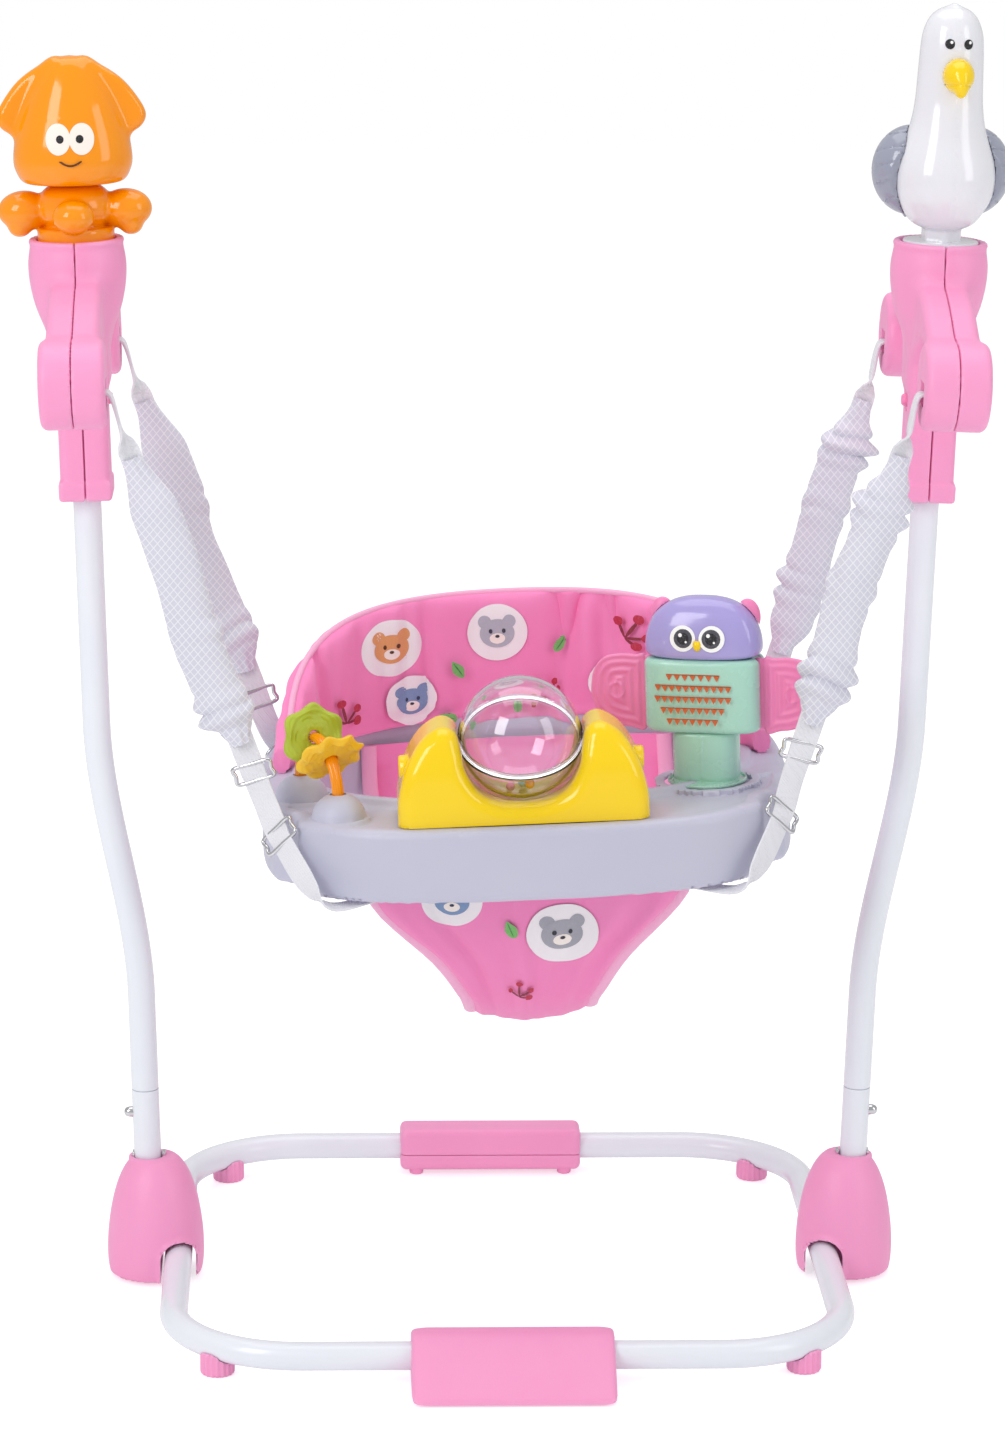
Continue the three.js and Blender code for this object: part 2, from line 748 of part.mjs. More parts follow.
const [domeFront, domeRear] = domeInsets.map(([side, front]) => [side - trayHalfWidth, front - trayHalfDepth]);
const traySolid = join(
  plate(trayOutline(0, 32), -trayHeight, 0, trayBevel),
  dome(domeFront),
  dome(domeRear),
);
const trayHollow = plate(trayOutline(trayWall + 2, 24), -trayHeight - 5, -trayWall);
const archFeet = [domeFront, domeRear].map(([x, y]) => bar(archRadius + 1, 8, 30, 10).translate(x, y, 0));
addPart(seat, 'tray', cut(traySolid, trayHollow, ...archFeet), greyPlastic);

// Padded back, a wall that wraps the rear half of the tray's ring

const backHalfWidth = trayHalfWidth - backInset[0];
const backHalfDepth = trayHalfDepth - backInset[1] - backStart;

function backTop(angle) {
  return backHeight * (1 - (Math.abs(angle) / 95) ** 3.6);
}

function backRings() {
  const rings = [];
  for (let angle = -90; angle <= 90; angle += 10) {
    const a = THREE.MathUtils.degToRad(angle);
    const place = (inset, z) => new THREE.Vector3(
      (backHalfWidth - inset) * Math.sin(a),
      backStart + (backHalfDepth - inset) * Math.cos(a),
      z,
    );
    const top = backTop(angle);
    rings.push([
      place(backThickness, gap),
      place(backThickness, top - 5),
      place(backThickness / 2, top),
      place(0, top - 5),
      place(0, gap),
    ]);
  }
  return rings;
}

addPart(seat, 'seat_back', loft(backRings()), seatFabric);

// Sling under the tray: a front panel, a crotch and a rear panel in one strip of fabric

// Each row is a share of the way from front to rear, a share of the depth, and half the width as a share.
const slingLine = [
  [0, 0.066, 0.951], [0.015, 0.264, 0.967], [0.069, 0.467, 0.984], [0.153, 0.684, 0.607], [0.252, 0.868, 0.426],
  [0.374, 0.981, 0.393], [0.519, 1, 0.41], [0.656, 0.915, 0.508], [0.794, 0.708, 0.754], [0.901, 0.472, 0.951],
  [0.977, 0.264, 1], [1, 0.066, 1],
];
const slingFront = openingCentre - openingHalfDepth + 7;
const slingRear = openingCentre + openingHalfDepth - 7;
const slingHalfWidth = openingHalfWidth - 50;
const slingBow = 0.0016; // how much the panels curve round the sitter
const slingPoints = slingLine.map(([along, down]) => (
  new THREE.Vector3(0, slingFront + along * (slingRear - slingFront), -slingDepth * down)
));
const slingRings = slingPoints.map((point, i) => {
  const half = slingHalfWidth * slingLine[i][2];
  const next = slingPoints[Math.min(i + 1, slingPoints.length - 1)];
  const previous = slingPoints[Math.max(i - 1, 0)];
  const along = next.clone().sub(previous).normalize();
  const out = new THREE.Vector3(0, along.z, -along.y);
  const corner = (u, v) => new THREE.Vector3(u * half, point.y, point.z)
    .addScaledVector(out, v * slingThickness / 2)
    .addScaledVector(out, -slingBow * half * half * u * u);
  return [
    corner(-1, -1), corner(-0.5, -1.2), corner(0, -1.2), corner(0.5, -1.2), corner(1, -1),
    corner(1, 1), corner(0.5, 1.2), corner(0, 1.2), corner(-0.5, 1.2), corner(-1, 1),
  ];
});
addPart(seat, 'seat_sling', loft(slingRings), seatFabric);

// Ball toy: a clear ball that turns between the horns of a cradle

const cradleY = 6 - (trayHalfDepth + openingHalfDepth - openingCentre) / 2;
const saddleHeight = 15; // under the ball
const ballHeight = saddleHeight + ballRadius - 2; // its room cuts a dish in the saddle
const horn = ballRadius + 10;
const hornInside = ballRadius - 1;
const flank = (cradleHalfWidth + horn) / 2;
const cradleProfile = new THREE.Shape();
cradleProfile.moveTo(-cradleHalfWidth, 0);
cradleProfile.quadraticCurveTo(-cradleHalfWidth - 1, cradleHeight / 2, -flank - 7, cradleHeight * 0.73);
cradleProfile.quadraticCurveTo(-flank + 5, cradleHeight, -horn, cradleHeight);
cradleProfile.quadraticCurveTo(2 - hornInside - 4, cradleHeight, -hornInside, cradleHeight - 22);
cradleProfile.quadraticCurveTo(10 - hornInside, saddleHeight + 1, 0, saddleHeight);
cradleProfile.quadraticCurveTo(hornInside - 10, saddleHeight + 1, hornInside, cradleHeight - 22);
cradleProfile.quadraticCurveTo(hornInside + 2, cradleHeight, horn, cradleHeight);
cradleProfile.quadraticCurveTo(flank - 5, cradleHeight, flank + 7, cradleHeight * 0.73);
cradleProfile.quadraticCurveTo(cradleHalfWidth + 1, cradleHeight / 2, cradleHalfWidth, 0);

const ballCentre = new THREE.Vector3(cradleX, cradleY, ballHeight);
const cradleBlock = frontPlate(cradleProfile, -cradleDepth / 2, cradleDepth / 2, 7);
cradleBlock.translate(cradleX, cradleY, gap);
const ballClear = ball(ballRadius + ballRoom, 14, 10).translate(...ballCentre);
const pivotHoles = crossBar(pinRadius + 2 * gap, -horn - 3, horn + 3, 8).translate(...ballCentre);
const pivotCaps = [-1, 1].map((side) => (
  crossBar(6, side * (cradleHalfWidth - 12), side * (cradleHalfWidth + 1), 10)
    .translate(cradleX, cradleY, cradleHeight * 0.54)
));
addPart(seat, 'ball_cradle', cut(join(cradleBlock, ...pivotCaps), ballClear, pivotHoles), yellowPlastic);

for (const [name, way] of [['ball_upper', 1], ['ball_lower', -1]]) {
  const shell = turned([
    [0, ballRadius], [ballRadius * 0.5, ballRadius * 0.866], [ballRadius * 0.85, ballRadius * 0.527],
    [ballRadius - 0.5, 4], [ballRadius, gap / 2], [ballRadius - 5, gap / 2], [ballRadius - 5, 3.2],
    [ballRadius - ballWall - 1, 4], [ballRadius * 0.85 - ballWall, ballRadius * 0.527 - 1],
    [ballRadius * 0.5 - 1, ballRadius * 0.866 - ballWall], [0, ballRadius - ballWall],
  ].reverse(), 14);
  const pins = [-1, 1].map((side) => {
    const pin = crossBar(pinRadius, side * (ballRadius - 3), side * (ballRadius + 7), 8);
    return overlap(pin, box(-2 * ballRadius, 2 * ballRadius, -20, 20, gap / 2, 20));
  });
  const half = join(shell, ...pins);
  if (way < 0) {
    half.rotateX(Math.PI);
  }
  half.rotateX(THREE.MathUtils.degToRad(ballTilt)).translate(...ballCentre);
  addPart(seat, name, half, clearPlastic);
}

// Owl toy

const owl = new THREE.Group();
owl.position.set(trayHalfWidth - owlInset[0], owlInset[1] - trayHalfDepth, gap);
owl.rotation.z = THREE.MathUtils.degToRad(owlYaw);
seat.add(owl);

const stemShape = outline(ellipsePoints(owlBodyWidth * 0.28, owlBodyDepth * 0.41, 12, 3));
const stem = join(
  bar(31, 0, 2.5, 20),
  plate(stemShape, 2, owlStemHeight, 4),
  bar(owlPin, owlStemHeight - 2, owlStemHeight + 10, 10),
);
addPart(owl, 'owl_stem', stem, mintPlastic);

const bodyBase = owlStemHeight + gap;
const bodyTop = bodyBase + owlBodyHeight;
const bodyShape = outline(ellipsePoints(owlBodyWidth / 2, owlBodyDepth / 2, 16, 4));
const wingSlots = [-1, 1].map((side) => (
  box(-6, 6, -7, 7, bodyBase - 2, bodyTop + 2).translate(side * (owlBodyWidth / 2), 0, 0)
));
const neckPin = bar(owlPin, bodyTop - 2, bodyTop + 10, 10);
const stemBore = bar(owlPin + gap, bodyBase - 5, bodyBase + 14, 12);
const owlBody = cut(join(plate(bodyShape, bodyBase, bodyTop, 2), neckPin), stemBore, ...wingSlots);
addPart(owl, 'owl_body', owlBody, mintPlastic);

const headBase = bodyTop + gap;
const headRings = [
  [1, 1, 0], [1, 1, 0.17], [0.96, 0.96, 0.43], [0.85, 0.87, 0.68], [0.61, 0.65, 0.89], [0.26, 0.3, 1],
].map(([a, b, z]) => (
  ellipsePoints((a * owlBodyWidth) / 2, (b * owlBodyDepth) / 2, 16, 2.8)
    .map(([x, y]) => new THREE.Vector3(x, y, headBase + z * owlHeadHeight))
));
const ears = [-1, 1].map((side) => (
  box(-7, 7, -5, 5, -12, 10).translate(side * owlBodyWidth * 0.36, 3, headBase + owlHeadHeight - 14)
));
const headBore = bar(owlPin + gap, headBase - 5, headBase + 12, 12);
addPart(owl, 'owl_head', cut(join(loft(headRings), ...ears), headBore), purplePlastic);

for (const side of [-1, 1]) {
  const wing = new THREE.Shape();
  wing.moveTo(0, 0);
  const wingTop = owlBodyHeight + 1;
  wing.lineTo(owlWingReach / 2, 2);
  wing.quadraticCurveTo(owlWingReach, wingTop * 0.24, owlWingReach, wingTop * 0.52);
  wing.quadraticCurveTo(owlWingReach - 8, wingTop - 2, owlWingReach / 2 - 2, wingTop);
  wing.lineTo(0, wingTop - 2);
  const root = owlBodyWidth / 2;
  const blade = frontPlate(wing, -3, 3, 1).translate(root + 1.5, 0, bodyBase - 1.5);
  const tab = box(root - 2, root + 4, -2, 2, bodyBase + 4, bodyTop - 5);
  const hinge = bar(3.6, bodyBase + 1, bodyTop - 1, 8).translate(root - 2, 0, 0);
  const part = join(blade, tab, hinge);
  if (side < 0) {
    part.rotateZ(Math.PI);
  }
  addPart(owl, `owl_wing_${sideName(side)}`, part, rosePlastic);
}

// Teether: two soft discs that slide and spin on an arch between the tray's domes

const archFrom = new THREE.Vector3(...domeFront, 10);
const archTo = new THREE.Vector3(...domeRear, 10);

class ArchRun extends THREE.Curve {
  getPoint(t, target = new THREE.Vector3()) {
    const turn = Math.PI * t;
    target.lerpVectors(archFrom, archTo, (1 - Math.cos(turn)) / 2);
    target.z += 6 + archHeight * Math.sin(turn);
    return target;
  }
}

const arch = new ArchRun();
const archBar = new THREE.ExtrudeGeometry(
  outline(ellipsePoints(archRadius, archRadius, 8)),
  { steps: 14, extrudePath: arch, bevelEnabled: false },
);
addPart(seat, 'teether_arch', archBar, orangePlastic);

function ruffledDisc(waves, thickness) {
  const hole = archRadius + discRoom;
  const ring = (radius, wave, z) => {
    const points = [];
    for (let i = 0; i < 24; i += 1) {
      const a = (2 * Math.PI * i) / 24;
      const r = radius + wave * Math.cos(waves * a);
      points.push(new THREE.Vector3(r * Math.cos(a), r * Math.sin(a), z));
    }
    return points;
  };
  const body = loft([
    ring(discRadius - 4, 1, -thickness), ring(discRadius, 1.6, -1), ring(discRadius, 1.6, 1),
    ring(discRadius - 4, 1, thickness),
  ]);
  return cut(body, bar(hole, -20, 20, 12));
}

const discs = [['teether_disc_yellow', 0.27, 8, yellowPlastic], ['teether_disc_green', 0.56, 6, limePlastic]];
for (const [name, place, waves, material] of discs) {
  const disc = addPart(seat, name, ruffledDisc(waves, 3.5), material);
  disc.position.copy(arch.getPoint(place));
  const along = arch.getPoint(place + 0.02).sub(arch.getPoint(place - 0.02)).normalize();
  disc.quaternion.setFromUnitVectors(new THREE.Vector3(0, 0, 1), along);
}

// Suspension: at each corner a strap, a spring inside a fabric cover, and webbing down to the tray

function toStand(x, y, z) {
  return new THREE.Vector3(x, y, z).applyMatrix4(seat.matrix);
}

function lugExit(side, end) {
  const lean = postLean * lugHeight;
  const x = side * (postOffset(headBottom) + lean - lugWidth / 2);
  return new THREE.Vector3(x, end * lugReach, headBottom + lugHeight - 6);
}

for (const end of [-1, 1]) {
  for (const side of [-1, 1]) {
    const tag = `${endName(end)}_${sideName(side)}`;
    const exit = lugExit(side, end);
    const corner = toStand(side * (trayHalfWidth - 5), end * (trayHalfDepth - 76), 12);
    const along = corner.clone().sub(exit).normalize();
    const span = exit.distanceTo(corner);
    const across = new THREE.Vector3(-along.z, 0, along.x).normalize();
    const face = along.clone().cross(across).normalize();
    const frame = new THREE.Matrix4().makeBasis(across, face, along);
    const at = (distance) => exit.clone().addScaledVector(along, distance);
    const foreAft = new THREE.Vector3(0, 1, 0);

    const coverLength = coverShare * span;
    const springLength = springShare * span;
    const coverFrom = (span - coverLength) * 0.52;
    const coverTo = coverFrom + coverLength;
    const springFrom = coverFrom + (coverLength - springLength) / 2;
    const straight = 0.6 * coverFrom; // the strap's way out before it turns
    const springTo = springFrom + springLength;

    const halfTurn = foreAft.clone().add(across).normalize();
    const out = (distance, drop) => exit.clone().add(new THREE.Vector3(-side * distance, 0, -drop));
    const below = [straight, (straight + coverFrom) / 2, coverFrom + 2, springFrom - 2].map(at);
    const strapRun = [out(-6, 0), out(3, 2), ...below];
    const strapAcross = [foreAft, foreAft, foreAft, halfTurn, across, across];
    const strap = strip(strapRun, strapAcross, strapWidth, strapThickness);
    addPart(stand, `strap_upper_${tag}`, strap, webbingFabric);

    const spring = sleeve(springRadius, springRadius - 2, 0, springLength, 10);
    spring.applyMatrix4(frame.clone().setPosition(at(springFrom)));
    addPart(stand, `spring_${tag}`, spring, steel);

    const coverShape = outline(ellipsePoints(coverHalfWidth, coverHalfThickness, 12));
    const inside = ellipsePoints(coverHalfWidth - 3, coverHalfThickness - 3, 12);
    coverShape.holes.push(new THREE.Path(inside.map(([x, y]) => new THREE.Vector2(x, y))));
    const cover = plate(coverShape, 0, coverLength);
    cover.applyMatrix4(frame.clone().setPosition(at(coverFrom)));
    addPart(stand, `spring_cover_${tag}`, cover, coverFabric);

    // The webbing leaves the spring, passes the tray's corner and tucks under its rim.
    const under = -trayHeight - 2.2;
    const run = [
      at(springTo + 2),
      at(coverTo),
      corner,
      toStand(side * (trayHalfWidth - 17), end * (trayHalfDepth - 52), -14),
      toStand(side * (trayHalfWidth - 37), end * (trayHalfDepth - 25), -44),
      toStand(side * (trayHalfWidth - 54), end * (trayHalfDepth - 22), under),
      toStand(side * (trayHalfWidth - 92), end * (trayHalfDepth - 46), under),
    ];
    const round = new THREE.Vector3(side, -end, 0).normalize();
    const inwards = new THREE.Vector3(0, -end, 0);
    const first = across.dot(round) < 0 ? across.clone().negate() : across;
    const between = first.clone().add(round).normalize();
    const widths = [first, first, between, round, round, inwards, inwards];
    const webbing = strip(run, widths, webbingWidth, webbingThickness);
    addPart(stand, `webbing_${tag}`, webbing, webbingFabric);
  }
}

export default object;
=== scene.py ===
import math
import random

import bpy
import numpy as np
from mathutils import Matrix, Vector
from mathutils.bvhtree import BVHTree


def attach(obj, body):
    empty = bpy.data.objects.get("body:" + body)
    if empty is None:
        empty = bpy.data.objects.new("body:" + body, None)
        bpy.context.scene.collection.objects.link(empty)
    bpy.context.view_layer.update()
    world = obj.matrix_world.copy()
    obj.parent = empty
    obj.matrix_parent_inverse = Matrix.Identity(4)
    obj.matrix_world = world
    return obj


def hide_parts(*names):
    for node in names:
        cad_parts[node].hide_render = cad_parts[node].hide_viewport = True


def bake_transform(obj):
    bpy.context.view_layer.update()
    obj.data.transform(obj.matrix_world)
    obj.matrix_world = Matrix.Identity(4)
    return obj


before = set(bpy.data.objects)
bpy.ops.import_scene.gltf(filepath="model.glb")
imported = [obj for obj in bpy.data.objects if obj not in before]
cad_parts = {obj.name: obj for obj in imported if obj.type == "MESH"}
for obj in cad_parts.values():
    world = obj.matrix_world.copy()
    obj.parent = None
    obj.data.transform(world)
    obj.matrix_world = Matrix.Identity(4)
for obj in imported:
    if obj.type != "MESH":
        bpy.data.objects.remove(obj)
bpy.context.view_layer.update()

mm = 0.001  # shapes are worked out in millimetres and stored in metres

# Materials


def paint(hexColour):
    # an sRGB hex colour as linear light
    channels = [int(hexColour[i:i + 2], 16) / 255 for i in (1, 3, 5)]
    return tuple(c / 12.92 if c <= 0.04045 else ((c + 0.055) / 1.055) ** 2.4 for c in channels) + (1.0,)


def addNode(tree, kind, settings=None, links=None):
    node = tree.nodes.new(kind)
    for name, value in (settings or {}).items():
        if isinstance(name, int) or name in node.inputs:
            node.inputs[name].default_value = value
        else:
            setattr(node, name, value)
    for name, source in (links or {}).items():
        tree.links.new(source, node.inputs[name])
    return node


def startMaterial(name, settings):
    material = bpy.data.materials.new(name)
    material.use_nodes = True
    tree = material.node_tree
    shader = tree.nodes["Principled BSDF"]
    for socket, value in settings.items():
        shader.inputs[socket].default_value = value
    place = addNode(tree, "ShaderNodeTexCoord").outputs["Object"]
    return material, tree, shader, place


def perMetre(sizeInMm):
    return 1 / (sizeInMm * mm)


def mixed(tree, share, low, high):
    # a colour between two, by a 0 to 1 share
    mix = addNode(tree, "ShaderNodeMix", {"data_type": "RGBA"})
    tree.links.new(share, mix.inputs["Factor"])
    for socket, value in ((6, low), (7, high)):
        if isinstance(value, tuple):
            mix.inputs[socket].default_value = value
        else:
            tree.links.new(value, mix.inputs[socket])
    return mix.outputs[2]


def moulded(name, look):
    # colour drifts over a hand's width, roughness over a finger's, and a fine grain sits on top
    settings = {"Coat Weight": look.get("coat", 0.0), "Coat Roughness": 0.06}
    if look.get("metallic"):
        settings["Metallic"] = look["metallic"]  # a metal keeps the default IOR
    else:
        settings["IOR"] = 1.5
    if look.get("glow"):
        # light sinks a few millimetres into the plastic
        settings |= {"Subsurface Weight": look["glow"], "Subsurface Radius": (1.0, 0.6, 0.5), "Subsurface Scale": 0.006}
    material, tree, shader, place = startMaterial(name, settings)
    drift = addNode(tree, "ShaderNodeTexNoise", {"Scale": perMetre(70), "Detail": 2.0}, {"Vector": place})
    colour = mixed(tree, drift.outputs["Fac"], paint(look["colour"]), paint(look["shade"]))
    # convex edges are mixed towards a paler colour: a painted highlight along the edges
    convexity = addNode(tree, "ShaderNodeNewGeometry").outputs["Pointiness"]
    edge = addNode(tree, "ShaderNodeMapRange", {"From Min": 0.52, "From Max": 0.6, "To Max": look.get("edgeHighlight", 0.0)},
                   {"Value": convexity})
    colour = mixed(tree, edge.outputs["Result"], colour, paint(look.get("edge", "#ffffff")))
    tree.links.new(colour, shader.inputs["Base Color"])
    handled = addNode(tree, "ShaderNodeTexNoise", {"Scale": perMetre(18), "Detail": 4.0}, {"Vector": place})
    low, high = look["roughness"]
    rough = addNode(tree, "ShaderNodeMapRange", {"From Min": 0.35, "From Max": 0.7, "To Min": low, "To Max": high},
                    {"Value": handled.outputs["Fac"]})
    tree.links.new(rough.outputs["Result"], shader.inputs["Roughness"])
    grain = addNode(tree, "ShaderNodeTexNoise", {"Scale": perMetre(look["grain"]), "Detail": 2.0}, {"Vector": place})
    bump = addNode(tree, "ShaderNodeBump", {"Strength": look["depth"], "Distance": 0.0004},
                   {"Height": grain.outputs["Fac"]})
    tree.links.new(bump.outputs["Normal"], shader.inputs["Normal"])
    return material


finishes = {
    # steel tube, powder coated: pale blue-white with a soft sheen and faint orange peel
    "powderCoatedSteel": {"colour": "#f3f6fc", "shade": "#ebeff8", "roughness": (0.2, 0.26), "grain": 7,
                          "depth": 0.01, "coat": 0.25},
    # polypropylene moulded in a finely etched tool: candy pink, satin, with a painted highlight along the edges
    "mouldedPinkPolypropylene": {"colour": "#ffa6d3", "shade": "#fd9ece", "roughness": (0.38, 0.5), "grain": 0.9,
                                 "depth": 0.12, "glow": 0.08, "edge": "#ffc4e2", "edgeHighlight": 0.35},
    # the same plastic in lilac grey, with an etched top that scatters light
    "mouldedGreyPolypropylene": {"colour": "#c9c9da", "shade": "#c1c1d5", "roughness": (0.36, 0.48), "grain": 0.9,
                                 "depth": 0.12, "glow": 0.05, "edge": "#dedeea", "edgeHighlight": 0.3},
    # ABS from a polished tool: deep yellow with crisp window reflections
    "polishedYellowAbs": {"colour": "#ffdd00", "shade": "#ffd200", "roughness": (0.1, 0.18), "grain": 5,
                          "depth": 0.03, "coat": 0.15},
    # polystyrene from a polished tool: saturated orange, glassy
    "polishedOrangePolystyrene": {"colour": "#ff9e00", "shade": "#ff9500", "roughness": (0.07, 0.14), "grain": 6,
                                  "depth": 0.03, "coat": 0.15},
    # the same in white
    "polishedWhitePolystyrene": {"colour": "#f2f2f7", "shade": "#ebebf2", "roughness": (0.1, 0.18), "grain": 6,
                                 "depth": 0.03, "coat": 0.5, "glow": 0.08},
    # wings in a grey that leans to blue
    "polishedGreyPolystyrene": {"colour": "#a3a7b8", "shade": "#989cae", "roughness": (0.1, 0.18), "grain": 6,
                                "depth": 0.03, "coat": 0.5},
    # mint ABS, half gloss
    "mouldedMintAbs": {"colour": "#b4e2d2", "shade": "#a9dac8", "roughness": (0.22, 0.32), "grain": 1.4,
                       "depth": 0.06, "coat": 0.2, "glow": 0.06, "edgeHighlight": 0.1},
    # violet ABS, glossy
    "polishedVioletAbs": {"colour": "#b3a8e2", "shade": "#a99edb", "roughness": (0.12, 0.2), "grain": 4,
                          "depth": 0.03, "coat": 0.4, "glow": 0.06},
    # rose polypropylene, satin
    "mouldedRosePolypropylene": {"colour": "#ff93c6", "shade": "#ff88be", "roughness": (0.36, 0.46), "grain": 1.0,
                                 "depth": 0.1, "glow": 0.08, "edge": "#ffb3d2", "edgeHighlight": 0.3},
    # silicone for chewing: dull lime
    "mouldedLimeSilicone": {"colour": "#b9ca3e", "shade": "#a9bd30", "roughness": (0.4, 0.55), "grain": 1.2,
                            "depth": 0.1, "glow": 0.2},
    # the same in warm yellow
    "mouldedYellowSilicone": {"colour": "#f7c830", "shade": "#eebb1c", "roughness": (0.36, 0.5), "grain": 1.2,
                              "depth": 0.1, "glow": 0.2},
    # nickel-plated steel: bright, mirror-like with faint hazing
    "platedSteel": {"colour": "#d9d9dc", "shade": "#c6c7cb", "roughness": (0.08, 0.2), "grain": 3, "depth": 0.03,
                    "metallic": 1.0},
}
finish = {name: moulded(name, look) for name, look in finishes.items()}


def clearPlastic():
    # polycarbonate, moulded and polished: clear, with a bright rim and faint haze
    material, tree, shader, place = startMaterial("mouldedClearPolycarbonate", {
        "Base Color": paint("#fbfcff"), "Roughness": 0.02, "IOR": 1.5,
        "Transmission Weight": 1.0, "Coat Weight": 0.3,
    })
    haze = addNode(tree, "ShaderNodeTexNoise", {"Scale": perMetre(9), "Detail": 1.0}, {"Vector": place})
    bump = addNode(tree, "ShaderNodeBump", {"Strength": 0.03, "Distance": 0.0005}, {"Height": haze.outputs["Fac"]})
    tree.links.new(bump.outputs["Normal"], shader.inputs["Normal"])
    return material


clothLook = {
    "seat": {"colour": "#ff98ce", "shade": "#ff8cc6", "thread": 0.9, "depth": 0.25},  # thread drawn coarse to show
    "binding": {"colour": "#ffc0e0", "shade": "#fdb4d9", "thread": 1.1, "depth": 0.3},
    "cover": {"colour": "#dcdce7", "shade": "#d2d2e0", "thread": 0.8, "depth": 0.2, "lattice": 4.6},
    "webbing": {"colour": "#f0f0f5", "shade": "#e3e3ea", "thread": 1.8, "depth": 0.8},
}


def woven(name, look):
    # two crossed sets of threads, and a slow drift where the cloth has been handled
    material, tree, shader, place = startMaterial(name, {
        "Roughness": 0.8, "IOR": 1.45, "Sheen Weight": 0.25, "Sheen Roughness": 0.45,
    })
    drift = addNode(tree, "ShaderNodeTexNoise", {"Scale": perMetre(45), "Detail": 3.0}, {"Vector": place})
    colour = mixed(tree, drift.outputs["Fac"], paint(look["colour"]), paint(look["shade"]))
    threads = []
    for turn in (0.6, 0.6 + math.pi / 2):
        lie = addNode(tree, "ShaderNodeMapping", {"Rotation": (turn, turn, 0.3)}, {"Vector": place})
        wave = addNode(tree, "ShaderNodeTexWave", {"Scale": perMetre(look["thread"]) * math.pi / 10, "Distortion": 0.3,
                                                   "Detail": 1.0}, {"Vector": lie.outputs["Vector"]})
        threads.append(wave.outputs["Fac"])
    weave = addNode(tree, "ShaderNodeMath", {"operation": "MULTIPLY"}, {0: threads[0], 1: threads[1]})
    if look.get("lattice"):
        lines = []
        for turn in (0.7, -0.7):
            lie = addNode(tree, "ShaderNodeMapping", {"Rotation": (0.0, turn, 0.0)}, {"Vector": place})
            wave = addNode(tree, "ShaderNodeTexWave", {"Scale": perMetre(look["lattice"]) * math.pi / 10,
                                                       "bands_direction": "X"}, {"Vector": lie.outputs["Vector"]})
            line = addNode(tree, "ShaderNodeMapRange", {"From Min": 0.9, "From Max": 0.99, "To Max": 0.75},
                           {"Value": wave.outputs["Fac"]})
            lines.append(line.outputs["Result"])
        either = addNode(tree, "ShaderNodeMath", {"operation": "MAXIMUM"}, {0: lines[0], 1: lines[1]})
        colour = mixed(tree, either.outputs[0], colour, paint("#f6f6fb"))
    tree.links.new(colour, shader.inputs["Base Color"])
    bump = addNode(tree, "ShaderNodeBump", {"Strength": look["depth"], "Distance": 0.0003},
                   {"Height": weave.outputs[0]})
    tree.links.new(bump.outputs["Normal"], shader.inputs["Normal"])
    return material


finish["mouldedClearPolycarbonate"] = clearPlastic()
finish["wovenPinkPolyester"] = woven("wovenPinkPolyester", clothLook["seat"])  # soft matt pink with a fine weave
finish["wovenBinding"] = woven("wovenBinding", clothLook["binding"])  # paler tape over the raw edges
finish["latticePrintedPolyester"] = woven("latticePrintedPolyester", clothLook["cover"])  # thin grey, white net print
finish["ribbedWebbing"] = woven("ribbedWebbing", clothLook["webbing"])  # thick white polyester tape


def printedInk():
    # ink pressed into cloth or pad-printed on plastic: flat colour from the piece's own colours, slightly matt
    material, tree, shader, place = startMaterial("screenPrintedInk", {"Roughness": 0.55, "IOR": 1.45})
    ink = addNode(tree, "ShaderNodeVertexColor", {"layer_name": "ink"}).outputs["Color"]
    speck = addNode(tree, "ShaderNodeTexNoise", {"Scale": perMetre(1.2), "Detail": 2.0}, {"Vector": place})
    pale = addNode(tree, "ShaderNodeMapRange", {"From Min": 0.5, "From Max": 0.9, "To Max": 0.12},
                   {"Value": speck.outputs["Fac"]})
    tree.links.new(mixed(tree, pale.outputs["Result"], ink, paint("#ffffff")), shader.inputs["Base Color"])
    bump = addNode(tree, "ShaderNodeBump", {"Strength": 0.08, "Distance": 0.0002}, {"Height": speck.outputs["Fac"]})
    tree.links.new(bump.outputs["Normal"], shader.inputs["Normal"])
    return material


finish["screenPrintedInk"] = printedInk()
print("materials ready")

# Shape helpers, all in millimetres


def ease(low, high, x):
    t = np.clip((x - low) / (high - low), 0, 1)
    return t * t * (3 - 2 * t)


def fuse(a, b, soft):
    h = np.clip(0.5 + 0.5 * (b - a) / soft, 0, 1)
    return b * (1 - h) + a * h - soft * h * (1 - h)


def carve(a, tool, soft):
    return -fuse(-a, tool, soft)


def outlineDistance(x, y, outline):
    best = np.full(x.shape, 1e12)
    inside = np.zeros(x.shape, bool)
    for (ax, ay), (bx, by) in zip(outline, outline[1:] + outline[:1]):
        ex, ey = bx - ax, by - ay
        if ex == 0 and ey == 0:
            continue
        wx, wy = x - ax, y - ay
        t = np.clip((wx * ex + wy * ey) / (ex * ex + ey * ey), 0, 1)
        best = np.minimum(best, (wx - ex * t) ** 2 + (wy - ey * t) ** 2)
        if ey:
            inside ^= ((ay > y) != (by > y)) & (x < ex * wy / ey + ax)
    return np.sqrt(best) * np.where(inside, -1, 1)


def slab(flat, along, half, rounding):
    a, b = flat + rounding, np.abs(along) - half + rounding
    return np.minimum(np.maximum(a, b), 0) + np.hypot(np.maximum(a, 0), np.maximum(b, 0)) - rounding


def block(p, centre, half, rounding):
    q = np.abs(p - np.array(centre)) - np.array(half) + rounding
    return np.minimum(q.max(1), 0) + np.linalg.norm(np.maximum(q, 0), axis=1) - rounding


def egg(p, centre, radii):
    q = (p - np.array(centre)) / np.array(radii)
    k = np.linalg.norm(q, axis=1) + 1e-9
    return k * (k - 1) / (np.linalg.norm(q / np.array(radii), axis=1) + 1e-9)


